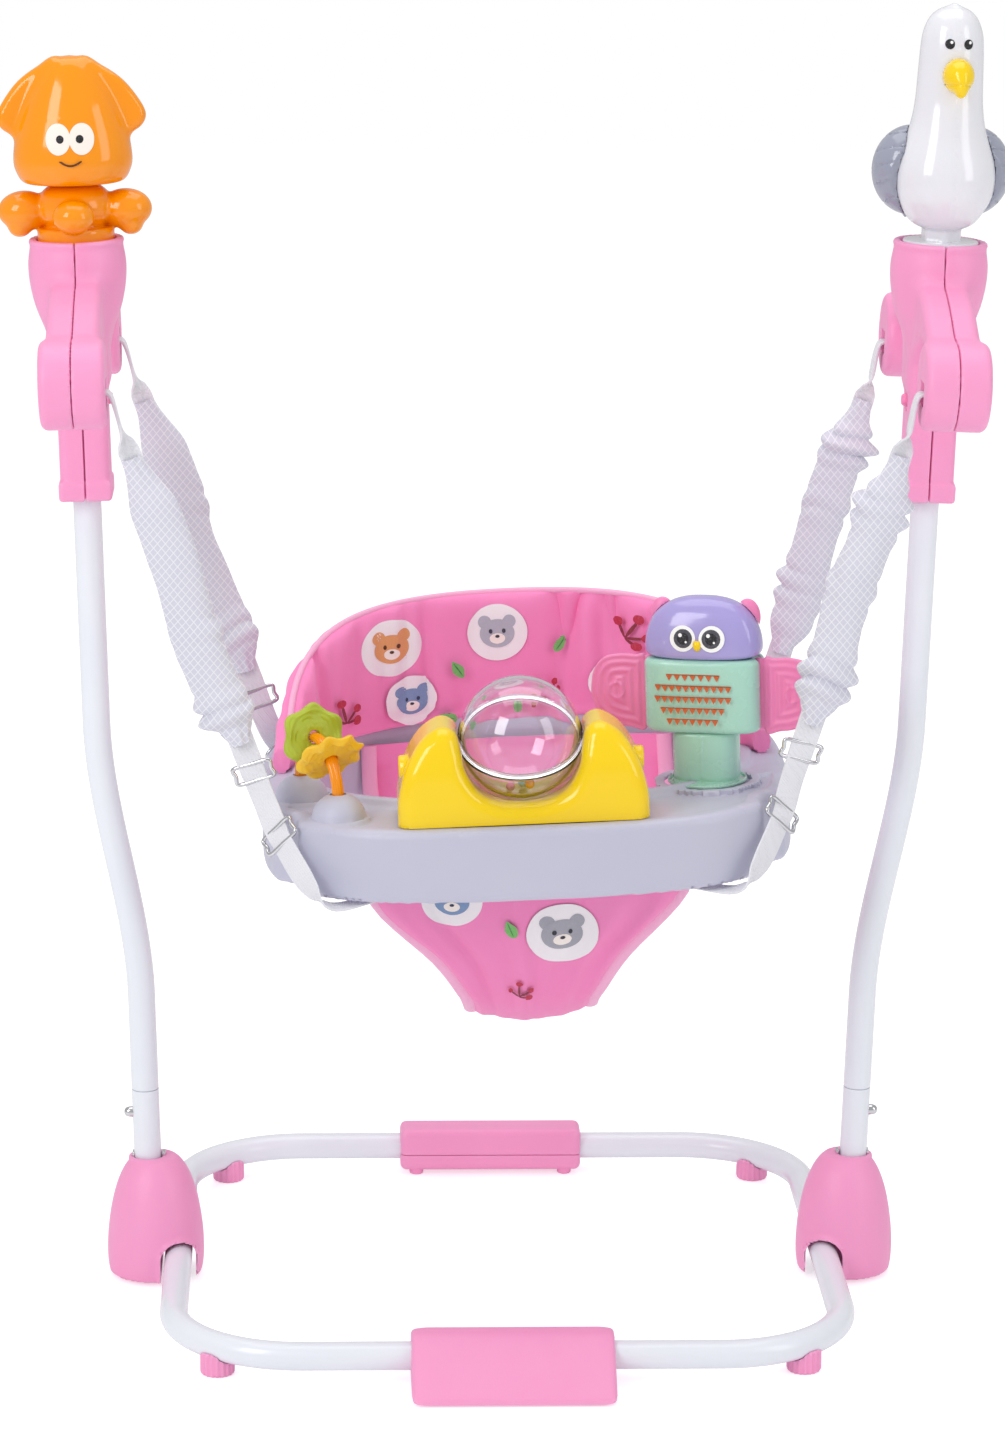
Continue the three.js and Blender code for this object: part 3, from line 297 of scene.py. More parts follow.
def ovalDistance(x, y, a, b, power):
    # radial distance to a rounded rectangle of that power
    k = (np.abs(x / a) ** power + np.abs(y / b) ** power) ** (1 / power) + 1e-9
    return np.hypot(x, y) * (1 - 1 / k)


def smoothLine(points, steps, closed=False):
    # a line through the points, with that many steps between two of them
    points = [np.array(p, float) for p in points]
    count = len(points) if closed else len(points) - 1
    line = []
    for i in range(count):
        if closed:
            a, b, c, d = (points[(i + k) % len(points)] for k in (-1, 0, 1, 2))
        else:
            b, c = points[i], points[i + 1]
            a = points[i - 1] if i else 2 * b - c
            d = points[i + 2] if i + 2 < len(points) else 2 * c - b
        for s in range(steps):
            t = s / steps
            line.append(0.5 * (2 * b + (c - a) * t + (2 * a - 5 * b + 4 * c - d) * t * t
                               + (3 * b - a - 3 * c + d) * t ** 3))
    if not closed:
        line.append(points[-1])
    return line


def flatOutline(points, steps=6):
    return [tuple(float(c) for c in p) for p in smoothLine(points, steps, closed=True)]


def openOutline(points):
    # straight from the first point and to the last, smooth between the others
    line = smoothLine(points[1:-1], 4)
    return [points[0]] + [tuple(float(c) for c in p) for p in line] + [points[-1]]


def folded(p):
    # both sides of the middle plane laid on one another, for what is mirrored
    return np.stack([np.abs(p[:, 0]), p[:, 1], p[:, 2]], 1)


def surfaceNet(field, low, high, step):
    # quads over the surface where the field is zero; points are slid onto it
    low = np.array(low, float)
    counts = np.ceil((np.array(high) - low) / step).astype(int) + 1
    axes = [low[i] + step * np.arange(counts[i]) for i in range(3)]
    grid = np.stack(np.meshgrid(*axes, indexing="ij"), -1).reshape(-1, 3)
    inside = (field(grid) < 0).reshape(counts)
    corners = np.zeros(counts - 1, np.int8)
    for i in (0, 1):
        for j in (0, 1):
            for k in (0, 1):
                corners += inside[i:counts[0] - 1 + i, j:counts[1] - 1 + j, k:counts[2] - 1 + k]
    crossed = (corners > 0) & (corners < 8)
    cells = np.argwhere(crossed)
    number = np.full(crossed.shape, -1)
    number[crossed] = np.arange(len(cells))
    centres = low + step * (cells + 0.5)
    points = centres.copy()
    nudge = step * 0.05
    for _ in range(4):
        value = field(points)
        slope = np.stack([
            (field(points + nudge * axis) - field(points - nudge * axis)) / (2 * nudge) for axis in np.eye(3)
        ], 1)
        move = value[:, None] * slope / np.maximum((slope ** 2).sum(1), 0.04)[:, None]
        points = np.clip(points - np.clip(move, -step, step), centres - 0.6 * step, centres + 0.6 * step)
    faces = []
    for axis in range(3):
        u, w = (axis + 1) % 3, (axis + 2) % 3
        size = counts.copy()
        size[axis] -= 1
        near = inside.take(range(0, counts[axis] - 1), axis)
        far = inside.take(range(1, counts[axis]), axis)
        edges = np.argwhere(near != far)
        edges = edges[(edges[:, u] > 0) & (edges[:, w] > 0)]
        edges = edges[(edges[:, u] < counts[u] - 1) & (edges[:, w] < counts[w] - 1)]
        stepU, stepW = np.eye(3, dtype=int)[u], np.eye(3, dtype=int)[w]
        ring = [number[tuple((edges - a * stepU - b * stepW).T)] for a, b in ((1, 1), (0, 1), (0, 0), (1, 0))]
        quads = np.stack(ring, 1)
        flip = ~near[tuple(edges.T)]
        quads[flip] = quads[flip][:, ::-1]
        faces.append(quads)
    return points, np.concatenate(faces).tolist()


def ringFaces(rings, around, closed=False):
    # quads from each ring of points to the next, and a face over each open end
    faces = []
    for i in range(rings if closed else rings - 1):
        a, b = i * around, (i + 1) % rings * around
        faces += [(a + j, a + (j + 1) % around, b + (j + 1) % around, b + j) for j in range(around)]
    if not closed:
        faces += [tuple(range(around))[::-1], tuple(range((rings - 1) * around, rings * around))]
    return faces


def sweep(path, section, across, closed=False):
    # section points (u, v) carried along a path; across[i] is the direction of u there
    path = [np.array(p, float) for p in path]
    points = []
    n = len(path)
    for i, p in enumerate(path):
        after = path[(i + 1) % n] if closed else path[min(i + 1, n - 1)]
        before = path[i - 1] if closed or i else path[0]
        along = (after - before) / np.linalg.norm(after - before)
        side = np.array(across[i] if len(across) == n else across[0], float)
        side = side - along * side.dot(along)
        side /= np.linalg.norm(side)
        face = np.cross(along, side)
        shape = section(i) if callable(section) else section
        points += [p + u * side + v * face for u, v in shape]
    return np.array(points), ringFaces(n, len(shape), closed)


def turnedBody(profile, sides=64):
    # (radius, height) pairs turned about +Z; a radius of 0 closes the end
    points, faces, rings = [], [], []
    for r, z in profile:
        start = len(points)
        if r <= 1e-6:
            points.append((0, 0, z))
            rings.append([start] * sides)
        else:
            points += [(r * math.cos(2 * math.pi * i / sides), r * math.sin(2 * math.pi * i / sides), z)
                       for i in range(sides)]
            rings.append(list(range(start, start + sides)))
    for a, b in zip(rings, rings[1:]):
        for i in range(sides):
            corners = [a[i], a[(i + 1) % sides], b[(i + 1) % sides], b[i]]
            face = tuple(dict.fromkeys(corners))
            if len(face) > 2:
                faces.append(face)
    return np.array(points, float), faces


def circle(radius, count=32):
    return [(radius * math.cos(2 * math.pi * i / count), radius * math.sin(2 * math.pi * i / count))
            for i in range(count)]


def band(width, thickness, rounding=0.8):
    # the section of a flat strap with softened edges
    a, b, r = width / 2, thickness / 2, min(rounding, thickness / 2)
    shape = []
    for cx, cy, start in ((a - r, b - r, 0), (r - a, b - r, 90), (r - a, r - b, 180), (a - r, r - b, 270)):
        for k in (0, 30, 60, 90):
            turn = math.radians(start + k)
            shape.append((cx + r * math.cos(turn), cy + r * math.sin(turn)))
    return shape


def addPiece(name, shape, material, body, place=None, stands=(), closed=True):
    points, faces = shape
    points = np.array(points, float)
    if place is not None:
        turn = np.array(place)
        points = points @ turn[:3, :3].T + turn[:3, 3]
        if np.linalg.det(turn[:3, :3]) < 0:
            faces = [tuple(f)[::-1] for f in faces]
    if closed:
        # faces look outwards when the volume they enclose is positive
        fans = [(f[0], f[k], f[k + 1]) for f in faces for k in range(1, len(f) - 1)]
        a, b, c = (points[list(column)] for column in zip(*fans))
        if (a * np.cross(b, c)).sum() < 0:
            faces = [tuple(f)[::-1] for f in faces]
    mesh = bpy.data.meshes.new(name)
    mesh.from_pydata((points * mm).tolist(), [], faces)
    mesh.polygons.foreach_set("use_smooth", [True] * len(mesh.polygons))
    mesh.materials.append(finish[material])
    mesh.update()
    mesh.set_sharp_from_angle(angle=math.radians(52))
    piece = bpy.data.objects.new(name, mesh)
    bpy.context.scene.collection.objects.link(piece)
    if body:
        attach(piece, body)
    if stands:
        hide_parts(*stands)
    return piece


def joinShapes(*shapes):
    points, faces, start = [], [], 0
    for p, f in shapes:
        points.append(np.array(p, float))
        faces += [tuple(start + i for i in face) for face in f]
        start += len(p)
    return np.concatenate(points), faces


def moved(shape, place):
    points, faces = shape
    turn = np.array(place)
    out = np.array(points) @ turn[:3, :3].T + turn[:3, 3]
    if np.linalg.det(turn[:3, :3]) < 0:
        faces = [tuple(f)[::-1] for f in faces]
    return out, faces


def at(x, y, z):
    return Matrix.Translation((x, y, z))


def spin(degrees, axis):
    return Matrix.Rotation(math.radians(degrees), 4, axis)


mirrorX = Matrix.Diagonal((-1, 1, 1, 1))
standPlace = at(0, 18, 0)
sideNames = {-1: "Left", 1: "Right"}
nodeSides = {-1: "left", 1: "right"}
endNames = {-1: "Front", 1: "Rear"}


# Prints: flat shapes laid on a surface


def printShape(kind, cx, cy, rx, ry, colour, turn=0, power=2.0):
    return {"kind": kind, "centre": (cx, cy), "radii": (rx, ry), "colour": colour, "turn": turn, "power": power}


def addPrint(name, target, prints, body):
    # each print: a place whose XZ plane holds its shapes and whose +Y points at the target
    mesh = target.data
    matrix = target.matrix_world
    tree = BVHTree.FromPolygons([matrix @ v.co for v in mesh.vertices], [tuple(p.vertices) for p in mesh.polygons])
    points, faces, inks = [], [], []
    for place, shapes in prints:
        turn = place.to_3x3()
        way = (turn @ Vector((0, 1, 0))).normalized()
        for layer, shape in enumerate(shapes):
            (cx, cz), (rx, rz) = shape["centre"], shape["radii"]
            tilt = math.radians(shape["turn"])
            # big prints get a finer net, so that they follow the folds
            rings, sides = (14, 48) if min(rx, rz) > 9 else (5, 20)
            start = len(points)
            local = [(0.0, 0.0)]
            for r in range(1, rings + 1):
                for s in range(sides):
                    a = 2 * math.pi * s / sides
                    c, n = math.cos(a), math.sin(a)
                    u = math.copysign(abs(c) ** (2 / shape["power"]), c) * rx * r / rings
                    v = math.copysign(abs(n) ** (2 / shape["power"]), n) * rz * r / rings
                    if shape["kind"] == "half" and v > 0:
                        v = 0.0
                    if shape["kind"] == "drop":
                        u *= 1 - 0.55 * max(v / rz, 0)
                    local.append((u, v))
            for u, v in local:
                x = cx + u * math.cos(tilt) - v * math.sin(tilt)
                z = cz + u * math.sin(tilt) + v * math.cos(tilt)
                origin = (place @ Vector((x, -120, z))) * mm
                hit, normal, _, _ = tree.ray_cast(origin, way)
                if hit is None:
                    hit, normal, _, _ = tree.find_nearest((place @ Vector((x, 0, z))) * mm)
                if normal.dot(way) > 0:
                    normal = -normal
                points.append(hit / mm + normal * (0.3 + 0.1 * layer))
            for s in range(sides):
                faces.append((start, start + 1 + s, start + 1 + (s + 1) % sides))
                for r in range(rings - 1):
                    a, b = start + 1 + r * sides, start + 1 + (r + 1) * sides
                    faces.append((a + s, b + s, b + (s + 1) % sides, a + (s + 1) % sides))
            inks += [paint(shape["colour"])] * (len(points) - start)
    piece = addPiece(name, (points, faces), "screenPrintedInk", None, closed=False)
    layer = piece.data.color_attributes.new("ink", "FLOAT_COLOR", "POINT")
    layer.data.foreach_set("color", np.array(inks, np.float32).ravel())
    if body:
        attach(piece, body)
    return piece


# Base frame

tube = {"radius": 11, "sides": 40}
base = {"halfWidth": 262, "halfDepth": 254, "corner": 100, "height": 22}


def baseRun(side):
    w, d, r, z = base["halfWidth"], base["halfDepth"], base["corner"], base["height"]
    line = [(0.15, -d), (w - r, -d)]
    line += [(w - r + r * math.sin(t), r - d - r * math.cos(t)) for t in np.linspace(0.05, math.pi / 2, 18)]
    line += [(w, y) for y in np.linspace(r - d + 20, d - r - 20, 8)]
    line += [(w - r + r * math.cos(t), d - r + r * math.sin(t)) for t in np.linspace(0, math.pi / 2 - 0.05, 18)]
    line += [(w - r, d), (0.15, d)]
    return [(side * x, y, z) for x, y in line]


def baseTubeDistance(p):
    # distance to the middle of the bent tubes, less their radius
    w, d, r, z = base["halfWidth"], base["halfDepth"], base["corner"], base["height"]
    qx, qy = np.abs(p[:, 0]) - w + r, np.abs(p[:, 1]) - d + r
    flat = np.minimum(np.maximum(qx, qy), 0) + np.hypot(np.maximum(qx, 0), np.maximum(qy, 0)) - r
    return np.hypot(flat, p[:, 2] - z) - tube["radius"]


foot = {"radius": 13.5, "angle": 50, "height": 19, "ribs": 9}

for side in (-1, 1):
    shape = sweep(baseRun(side), circle(tube["radius"], tube["sides"]), [(0, 0, 1)])
    addPiece("baseTube" + sideNames[side], shape, "powderCoatedSteel", "frame", standPlace,
             ["base_tube_" + nodeSides[side]])
    for end in (-1, 1):
        turn = math.radians(foot["angle"])
        fx = side * (base["halfWidth"] - base["corner"] * (1 - math.cos(turn)))
        fy = end * (base["halfDepth"] - base["corner"] * (1 - math.sin(turn)))

        def footField(p):
            q = p - np.array((fx, fy, 0))
            ribs = 0.5 * np.cos(foot["ribs"] * 2 * np.arctan2(q[:, 1], q[:, 0]))
            solid = slab(np.hypot(q[:, 0], q[:, 1]) - foot["radius"] + 0.5 + ribs, q[:, 2] - foot["height"] / 2,
                         foot["height"] / 2, 2.5)
            return carve(solid, baseTubeDistance(p) - 0.4, 1)

        r = foot["radius"] + 2
        shape = surfaceNet(footField, (fx - r, fy - r, -2), (fx + r, fy + r, foot["height"] + 2), 1.1)
        addPiece("foot" + endNames[end] + sideNames[side], shape, "mouldedPinkPolypropylene", "frame", standPlace,
                 ["foot_%s_%s" % (endNames[end].lower(), nodeSides[side])])

cover = {"halfWidth": 78, "low": 4, "top": 41, "halfDepth": 17, "split": 18, "pad": (64, -9)}
coverProfile = flatOutline([(-52, 1.5), (-30, 1), (12, 1), (16.5, 4), (17, 20), (17, 34), (12, 40.4), (4, 41),
                            (-5, 38.8), (-22, 28), (-40, 15), (-51, 6.5), (-53, 3.4)], 5)


def frontCoverField(p):
    x, y, z = p[:, 0], p[:, 1] + base["halfDepth"], p[:, 2]
    # the face falls off a little towards both ends
    pinch = 1.2 * ease(cover["halfWidth"] - 16, cover["halfWidth"], np.abs(x)) ** 2
    solid = slab(outlineDistance(y, z, coverProfile) + pinch, x, cover["halfWidth"], 3.5)
    return carve(solid, np.hypot(y, z - base["height"]) - tube["radius"] - 0.4, 0.8)


addPiece("coverFront", surfaceNet(frontCoverField, (-80, -310, -1), (80, -234, 44), 2), "mouldedPinkPolypropylene",
         "frame", standPlace, ["cover_front"])

for name, low, high in (("coverRearLower", cover["low"], cover["split"]),
                        ("coverRearUpper", cover["split"] + 0.4, cover["top"])):
    def rearCoverField(p):
        x, y, z = p[:, 0], p[:, 1] - base["halfDepth"], p[:, 2]
        solid = block(np.stack([x, y, z - 22.5], 1), (0, 0, 0), (cover["halfWidth"], cover["halfDepth"], 18.5), 6)
        kept = -fuse(-solid, -np.maximum(low - z, z - high), 1.4)
        if low == cover["low"]:
            # two round pads under its lower half
            padX, padY = cover["pad"]
            kept = fuse(kept, slab(np.hypot(np.abs(x) - padX, y - padY) - 6, z - 3, 2.6, 1), 1)
        return carve(kept, np.hypot(y, z - base["height"]) - tube["radius"] - 0.4, 0.8)

    addPiece(name, surfaceNet(rearCoverField, (-80, 235, -1), (80, 273, 43), 1.8), "mouldedPinkPolypropylene",
             "frame", standPlace, ["cover_rear_" + name[9:].lower()])
print("base ready")

# Posts

post = {"x": 285, "foot": 32, "joint": 156, "bow": 27, "bowStart": 235, "bowEnd": 460, "lean": 0.03}
headBottom = 642


def postOffset(z):
    return post["x"] + post["lean"] * (z - post["foot"]) + post["bow"] * ease(post["bowStart"], post["bowEnd"], z)


def steelStrip(x, half, height):
    centre, reach = np.array((x, 0, height)), np.array(half) + 1.5
    return surfaceNet(lambda p: block(p, centre, half, 0.9), centre - reach, centre + reach, 1.0)


snap = {"height": 136, "radius": 4.4}
for side in (-1, 1):
    lower = [(side * postOffset(z), 0, z) for z in (post["foot"], 94, post["joint"] - 0.3)]
    addPiece("postLower" + sideNames[side], sweep(lower, circle(tube["radius"], tube["sides"]), [(0, 1, 0)]),
             "powderCoatedSteel", "frame", standPlace, ["post_lower_" + nodeSides[side]])
    heights = [post["joint"], post["joint"] + 0.7, *np.linspace(post["joint"] + 1.6, headBottom + 56, 60)]
    trims = {0: 0.94, 1: 0.985}
    shape = sweep([(side * postOffset(z), 0, z) for z in heights],
                  lambda i: circle(tube["radius"] * trims.get(i, 1.0), tube["sides"]), [(0, 1, 0)])
    addPiece("postUpper" + sideNames[side], shape, "powderCoatedSteel", "frame", standPlace,
             ["post_upper_" + nodeSides[side]])
    # two flat braces beside the post, bearing on the side tube
    braces = [steelStrip(side * (postOffset(66) + way * 12), (1.4, 4.5, 34.5), 68.5) for way in (-1, 1)]
    addPiece("postBraces" + sideNames[side], joinShapes(*braces), "platedSteel", "frame", standPlace)
    dome = [(0, 2), (snap["radius"], 2), (snap["radius"], 11.5), (4.2, 14), (3.4, 16.2), (2, 17.4), (0, 17.8)]
    place = standPlace @ at(side * postOffset(snap["height"]), 0, snap["height"]) @ spin(90 * side, "Y")
    addPiece("postButton" + sideNames[side], turnedBody(dome, 32), "platedSteel",
             "post_button_" + nodeSides[side], place, ["post_button_" + nodeSides[side]])

housing = {"half": (39, 41), "low": 3, "high": 99, "wall": 4.5, "lip": 2.6}
housingShape = [(0.955, 0), (0.985, 0.06), (1, 0.14), (1, 0.25), (0.98, 0.38), (0.93, 0.53), (0.86, 0.67),
                (0.77, 0.79), (0.66, 0.89), (0.54, 0.96), (0.43, 1)]


def housingField(p):
    # a bell over the post's foot with flared lips round both openings
    x, y, z = p[:, 0] + 281, p[:, 1], p[:, 2]
    half = housing["half"]
    rise = housing["high"] - housing["low"]
    profile = [(-5, housing["low"])] + [(half[0] * r, housing["low"] + h * rise) for r, h in housingShape]
    profile.append((-5, housing["high"]))
    bell = outlineDistance(np.hypot(x, y * half[0] / half[1]), z, openOutline(profile))
    arch = np.hypot(p[:, 0] + base["halfWidth"], np.maximum(z - base["height"], 0)) - tube["radius"] - 3
    shell = carve(bell, np.maximum(bell + housing["wall"], z - housing["high"] + 8), 1.5)
    shell = fuse(shell, np.hypot(arch, bell + 0.4) - housing["lip"], 2.5)
    shell = carve(shell, arch, 1.2)
    mouth = np.hypot(p[:, 0] + postOffset(80), y) - tube["radius"] - 1.6
    shell = fuse(shell, np.hypot(mouth - 1.5, z - housing["high"] + 1.5) - 2.2, 2)
    shell = carve(shell, np.maximum(mouth, 50 - z), 1)
    return np.maximum(shell, housing["low"] - z)


housingMesh = surfaceNet(housingField, (-324, -46, 1), (-236, 46, 104), 1.9)
for side in (-1, 1):
    place = standPlace if side < 0 else standPlace @ mirrorX
    addPiece("footHousing" + sideNames[side], housingMesh, "mouldedPinkPolypropylene", "frame", place,
             ["foot_housing_" + nodeSides[side]])
print("posts ready")

# Heads

head = {"column": (19.5, 22.5), "collar": (20.8, 24.3, 16), "cupRadius": 35, "cupTop": 204, "cupDepth": 26, "cupWall": 4,
        "lugRadius": 34, "lugHalf": 25, "lugReach": 130, "lugHeight": 110, "armHalf": 20.5, "button": 78}
cupProfile = openOutline([(-5, 112), (8, 114), (18, 120), (26, 133), (33, 150), (37, 168), (38, 184), (36.5, 196),
                              (35, 204), (-5, 204)])
armCurve = [(-130, 140), (-104, 151), (-78, 163), (-54, 171), (-30, 176), (30, 176), (54, 171), (78, 163),
            (104, 151), (130, 140), (130, 106), (104, 122), (80, 133), (56, 134), (38, 125), (26, 110), (20, 88),
            (-20, 88), (-26, 110), (-38, 125), (-56, 134), (-80, 133), (-104, 122), (-130, 106)]


def headSolid(p):
    x, y, z = p.T
    cx, cy = head["column"]
    solid = block(p, (0, 0, 78), (cx, cy, 76), 7)
    solid = fuse(solid, outlineDistance(np.hypot(x, y), z, cupProfile), 9)
    solid = fuse(solid, slab(outlineDistance(y, z, armCurve), x, head["armHalf"], 8), 10)
    for way in (-1, 1):
        lug = slab(np.hypot(y - way * head["lugReach"], z - head["lugHeight"]) - head["lugRadius"], x,
                   head["lugHalf"], 6)
        solid = fuse(solid, lug, 7)
    wx, wy, collarTop = head["collar"]
    solid = fuse(solid, block(p, (0, 0, collarTop / 2), (wx, wy, collarTop / 2), 3), 1.5)
    # a rolled rim round the mouth of the cup
    solid = fuse(solid, np.hypot(np.hypot(x, y) - 34.5, z - 202) - 2.4, 1.5)
    solid = carve(solid, np.maximum(np.hypot(x, y) - 31, 178 - z), 1.5)
    solid = carve(solid, np.maximum(np.hypot(x, y) - 11.8, z - 59), 0.8)
    for way in (-1, 1):
        slot = block(p, (20, way * head["lugReach"], head["lugHeight"] - 6), (8, 11, 9), 2)
        solid = carve(solid, slot, 1.6)
    ring = np.hypot(y, z - head["button"])
    solid = carve(solid, np.maximum(ring - 5.4, -x), 0.8)
    return carve(solid, np.hypot(ring - 8.5, x - 18.5) - 0.9, 0.6)


headMeshes = {
    "Inner": surfaceNet(lambda p: -fuse(-headSolid(p), p[:, 0] - 0.2, 1.6), (-2, -168, -3), (40, 168, 208), 2.1),
    "Outer": surfaceNet(lambda p: -fuse(-headSolid(p), -0.2 - p[:, 0], 1.6), (-40, -168, -3), (2, 168, 208), 2.1),
}
headLean = math.degrees(math.atan(post["lean"]))
leftHead = standPlace @ at(-postOffset(headBottom), 0, headBottom) @ spin(-headLean, "Y")
headPlaces = {-1: leftHead, 1: mirrorX @ leftHead @ mirrorX}
for side in (-1, 1):
    place = headPlaces[side] if side < 0 else headPlaces[side] @ mirrorX
    tag = sideNames[side]
    for half, shape in headMeshes.items():
        addPiece("head" + tag + half, shape, "mouldedPinkPolypropylene", "frame", place,
                 ["head_%s_%s" % (nodeSides[side], half.lower())])
    press = [(0, 13), (5, 13), (5, 20.5), (4.6, 22.3), (3.4, 23.3), (0, 23.6)]
    addPiece("headButton" + tag, turnedBody(press, 32), "mouldedRosePolypropylene", "head_button_" + nodeSides[side],
             place @ at(0, 0, head["button"]) @ spin(90, "Y"), ["head_button_" + nodeSides[side]])
print("heads ready")

# Toys on the heads

toyPlaces = {side: headPlaces[side] @ at(0, 0, head["cupTop"]) for side in (-1, 1)}
squid = {"skirtTop": 42, "flat": 0.8}


def squidSkirtField(p):
    x, y, z = p.T
    solid = slab(np.hypot(x, y) - 29.8, z + 8, 17, 2)
    solid = fuse(solid, egg(p, (0, 0, 25), (30, 27, 21)), 5)
    eggs = [((39, 0, 22), (20.5, 17, 15.5)), ((0, -32, 20), (16, 15, 13)), ((0, 32, 20), (16, 15, 13)),
            ((43, -2, 10), (9, 10, 8))]
    q = folded(p)
    for centre, radii in eggs:
        solid = fuse(solid, egg(q, centre, radii), 3)
    return -fuse(-solid, -(z - squid["skirtTop"]), 2)


hoodProfile = openOutline([(-5, 42.4), (30, 42.6), (39, 44.5), (44, 52), (46, 62), (43.5, 80), (36.5, 101),
                               (28, 119), (19, 133), (11, 139), (0, 141), (-5, 141)])
finCurve = flatOutline([(10, 136), (24, 133), (40, 122), (52, 107), (57.5, 95), (54, 86), (44, 80), (34, 78),
                        (20, 92)], 5)


def squidHoodField(p):
    x, y, z = p.T
    solid = outlineDistance(np.hypot(x, y / squid["flat"]), z, hoodProfile)
    return fuse(solid, slab(outlineDistance(np.abs(x), z, finCurve), y, 6.5, 5.5), 7)


squidMaterial = "polishedOrangePolystyrene"
place = toyPlaces[-1]
addPiece("squidSkirt", surfaceNet(squidSkirtField, (-62, -50, -27), (62, 50, 45), 1.6), squidMaterial, "squid",
         place, ["squid_skirt"])
squidHood = addPiece("squidHood", surfaceNet(squidHoodField, (-62, -42, 40), (62, 42, 144), 1.7), squidMaterial,
                     "squid", place, ["squid_hood"])
# a plain smiling face
face = [printShape("oval", way * 9, 80, 9.5, 12, "#fff4ea") for way in (-1, 1)]
face += [printShape("oval", way * 7.5, 80, 2.9, 3.1, "#17171d") for way in (-1, 1)]
face += [printShape("oval", 7 * t, 60 + 2.6 * t * t, 1.7, 0.7, "#5d2c06", 24 * t) for t in np.linspace(-1, 1, 11)]
addPrint("squidFace", squidHood, [(place, face)], "squid")

gull = {"base": 9, "height": 176, "radius": 39.5}
gullShape = [(0.3, 0), (0.6, 0.03), (0.8, 0.085), (0.95, 0.15), (1, 0.235), (0.95, 0.315), (0.84, 0.39), (0.73, 0.47),
             (0.665, 0.57), (0.64, 0.7), (0.62, 0.8), (0.585, 0.87), (0.48, 0.93), (0.33, 0.965), (0.17, 0.982),
             (0.0, 1.0)]
gullCurve = openOutline([(-5, gull["base"])] + [(gull["radius"] * r, gull["base"] + gull["height"] * h)
                                                    for r, h in gullShape] + [(-5, gull["base"] + gull["height"])])
gullPlace = toyPlaces[1] @ spin(6, "Z")


def gullBodyField(p):
    x, y, z = p.T
    solid = outlineDistance(np.hypot(x, y), z, gullCurve)
    turn = np.arctan2(y, x)
    six = np.hypot(x, y) * np.cos((turn + math.pi / 6) % (math.pi / 3) - math.pi / 6)
    solid = fuse(solid, slab(six - 14, z - 5, 6, 1.5), 1.5)
    solid = fuse(solid, slab(np.hypot(x, y) - 29.8, z + 12, 13, 1.5), 1)
    solid = carve(solid, egg(p, (0, -27, 131), (11.3, 15.8, 12.8)), 0.6)
    # the seam between its two halves
    return carve(solid, np.hypot(x, np.minimum(solid, 0)) - 0.45, 0.5)


gullBody = addPiece("gullBody", surfaceNet(gullBodyField, (-43, -43, -27), (43, 43, 188), 1.7),
                    "polishedWhitePolystyrene", "gull", gullPlace, ["gull_body"])


def gullBeakField(p):
    x, y, z = p.T
    solid = egg(p, (0, -27, 131), (12, 16.5, 13.5))
    solid = fuse(solid, egg(p, (0, -38, 124), (5.5, 7, 9)), 4)
    line = np.hypot(z - 126 + 0.05 * np.abs(x) ** 1.6, np.minimum(solid, 0)) - 0.8
    return carve(solid, np.maximum(line, -solid - 1.5), 0.8)


addPiece("gullBeak", surfaceNet(gullBeakField, (-15, -48, 111), (15, -8, 149), 1.0), "polishedYellowAbs", "gull",
         gullPlace, ["gull_beak"])


def gullWingField(p):
    x, y, z = p.T
    q = folded(p)
    wing = egg(q, (24, 12, 54), (31, 27, 35))
    tail = egg(q, (14, 34, 40), (16, 12, 30))
    wing = fuse(wing, tail, 6)
    body = outlineDistance(np.hypot(x, y), z, gullCurve)
    wing = carve(wing, body - 0.3, 0.8)
    wing = np.maximum(wing, -(y + 8) - 0.12 * (z - 54))
    # feather lines
    grooves = np.abs(np.mod(z + 0.35 * y, 13) - 6.5) - 0.5
    return carve(wing, np.maximum(grooves, -wing - 0.7), 0.5)


addPiece("gullWings", surfaceNet(gullWingField, (-58, -20, 14), (58, 50, 94), 1.5), "polishedGreyPolystyrene", "gull",
         gullPlace, ["gull_wings"])
face = [printShape("oval", way * 7.2, 155, 3.6, 3.9, "#15151b") for way in (-1, 1)]
face += [printShape("oval", way * 7.2 + 1.2, 156.4, 1.1, 1.2, "#ffffff") for way in (-1, 1)]
addPrint("gullEyes", gullBody, [(gullPlace, face)], "gull")
print("toys ready")

# The hanging seat

seatPlace = at(14, 18, 425) @ spin(-2.5, "Y")
tray = {"half": (209, 203), "power": 3.2, "opening": (172, 138), "openingPower": 2.6, "openingY": 25, "height": 58,
        "wall": 4.5, "groove": 25}
domes = ((-147, -145), (-176, -78))
owlSpot = (142, -76)


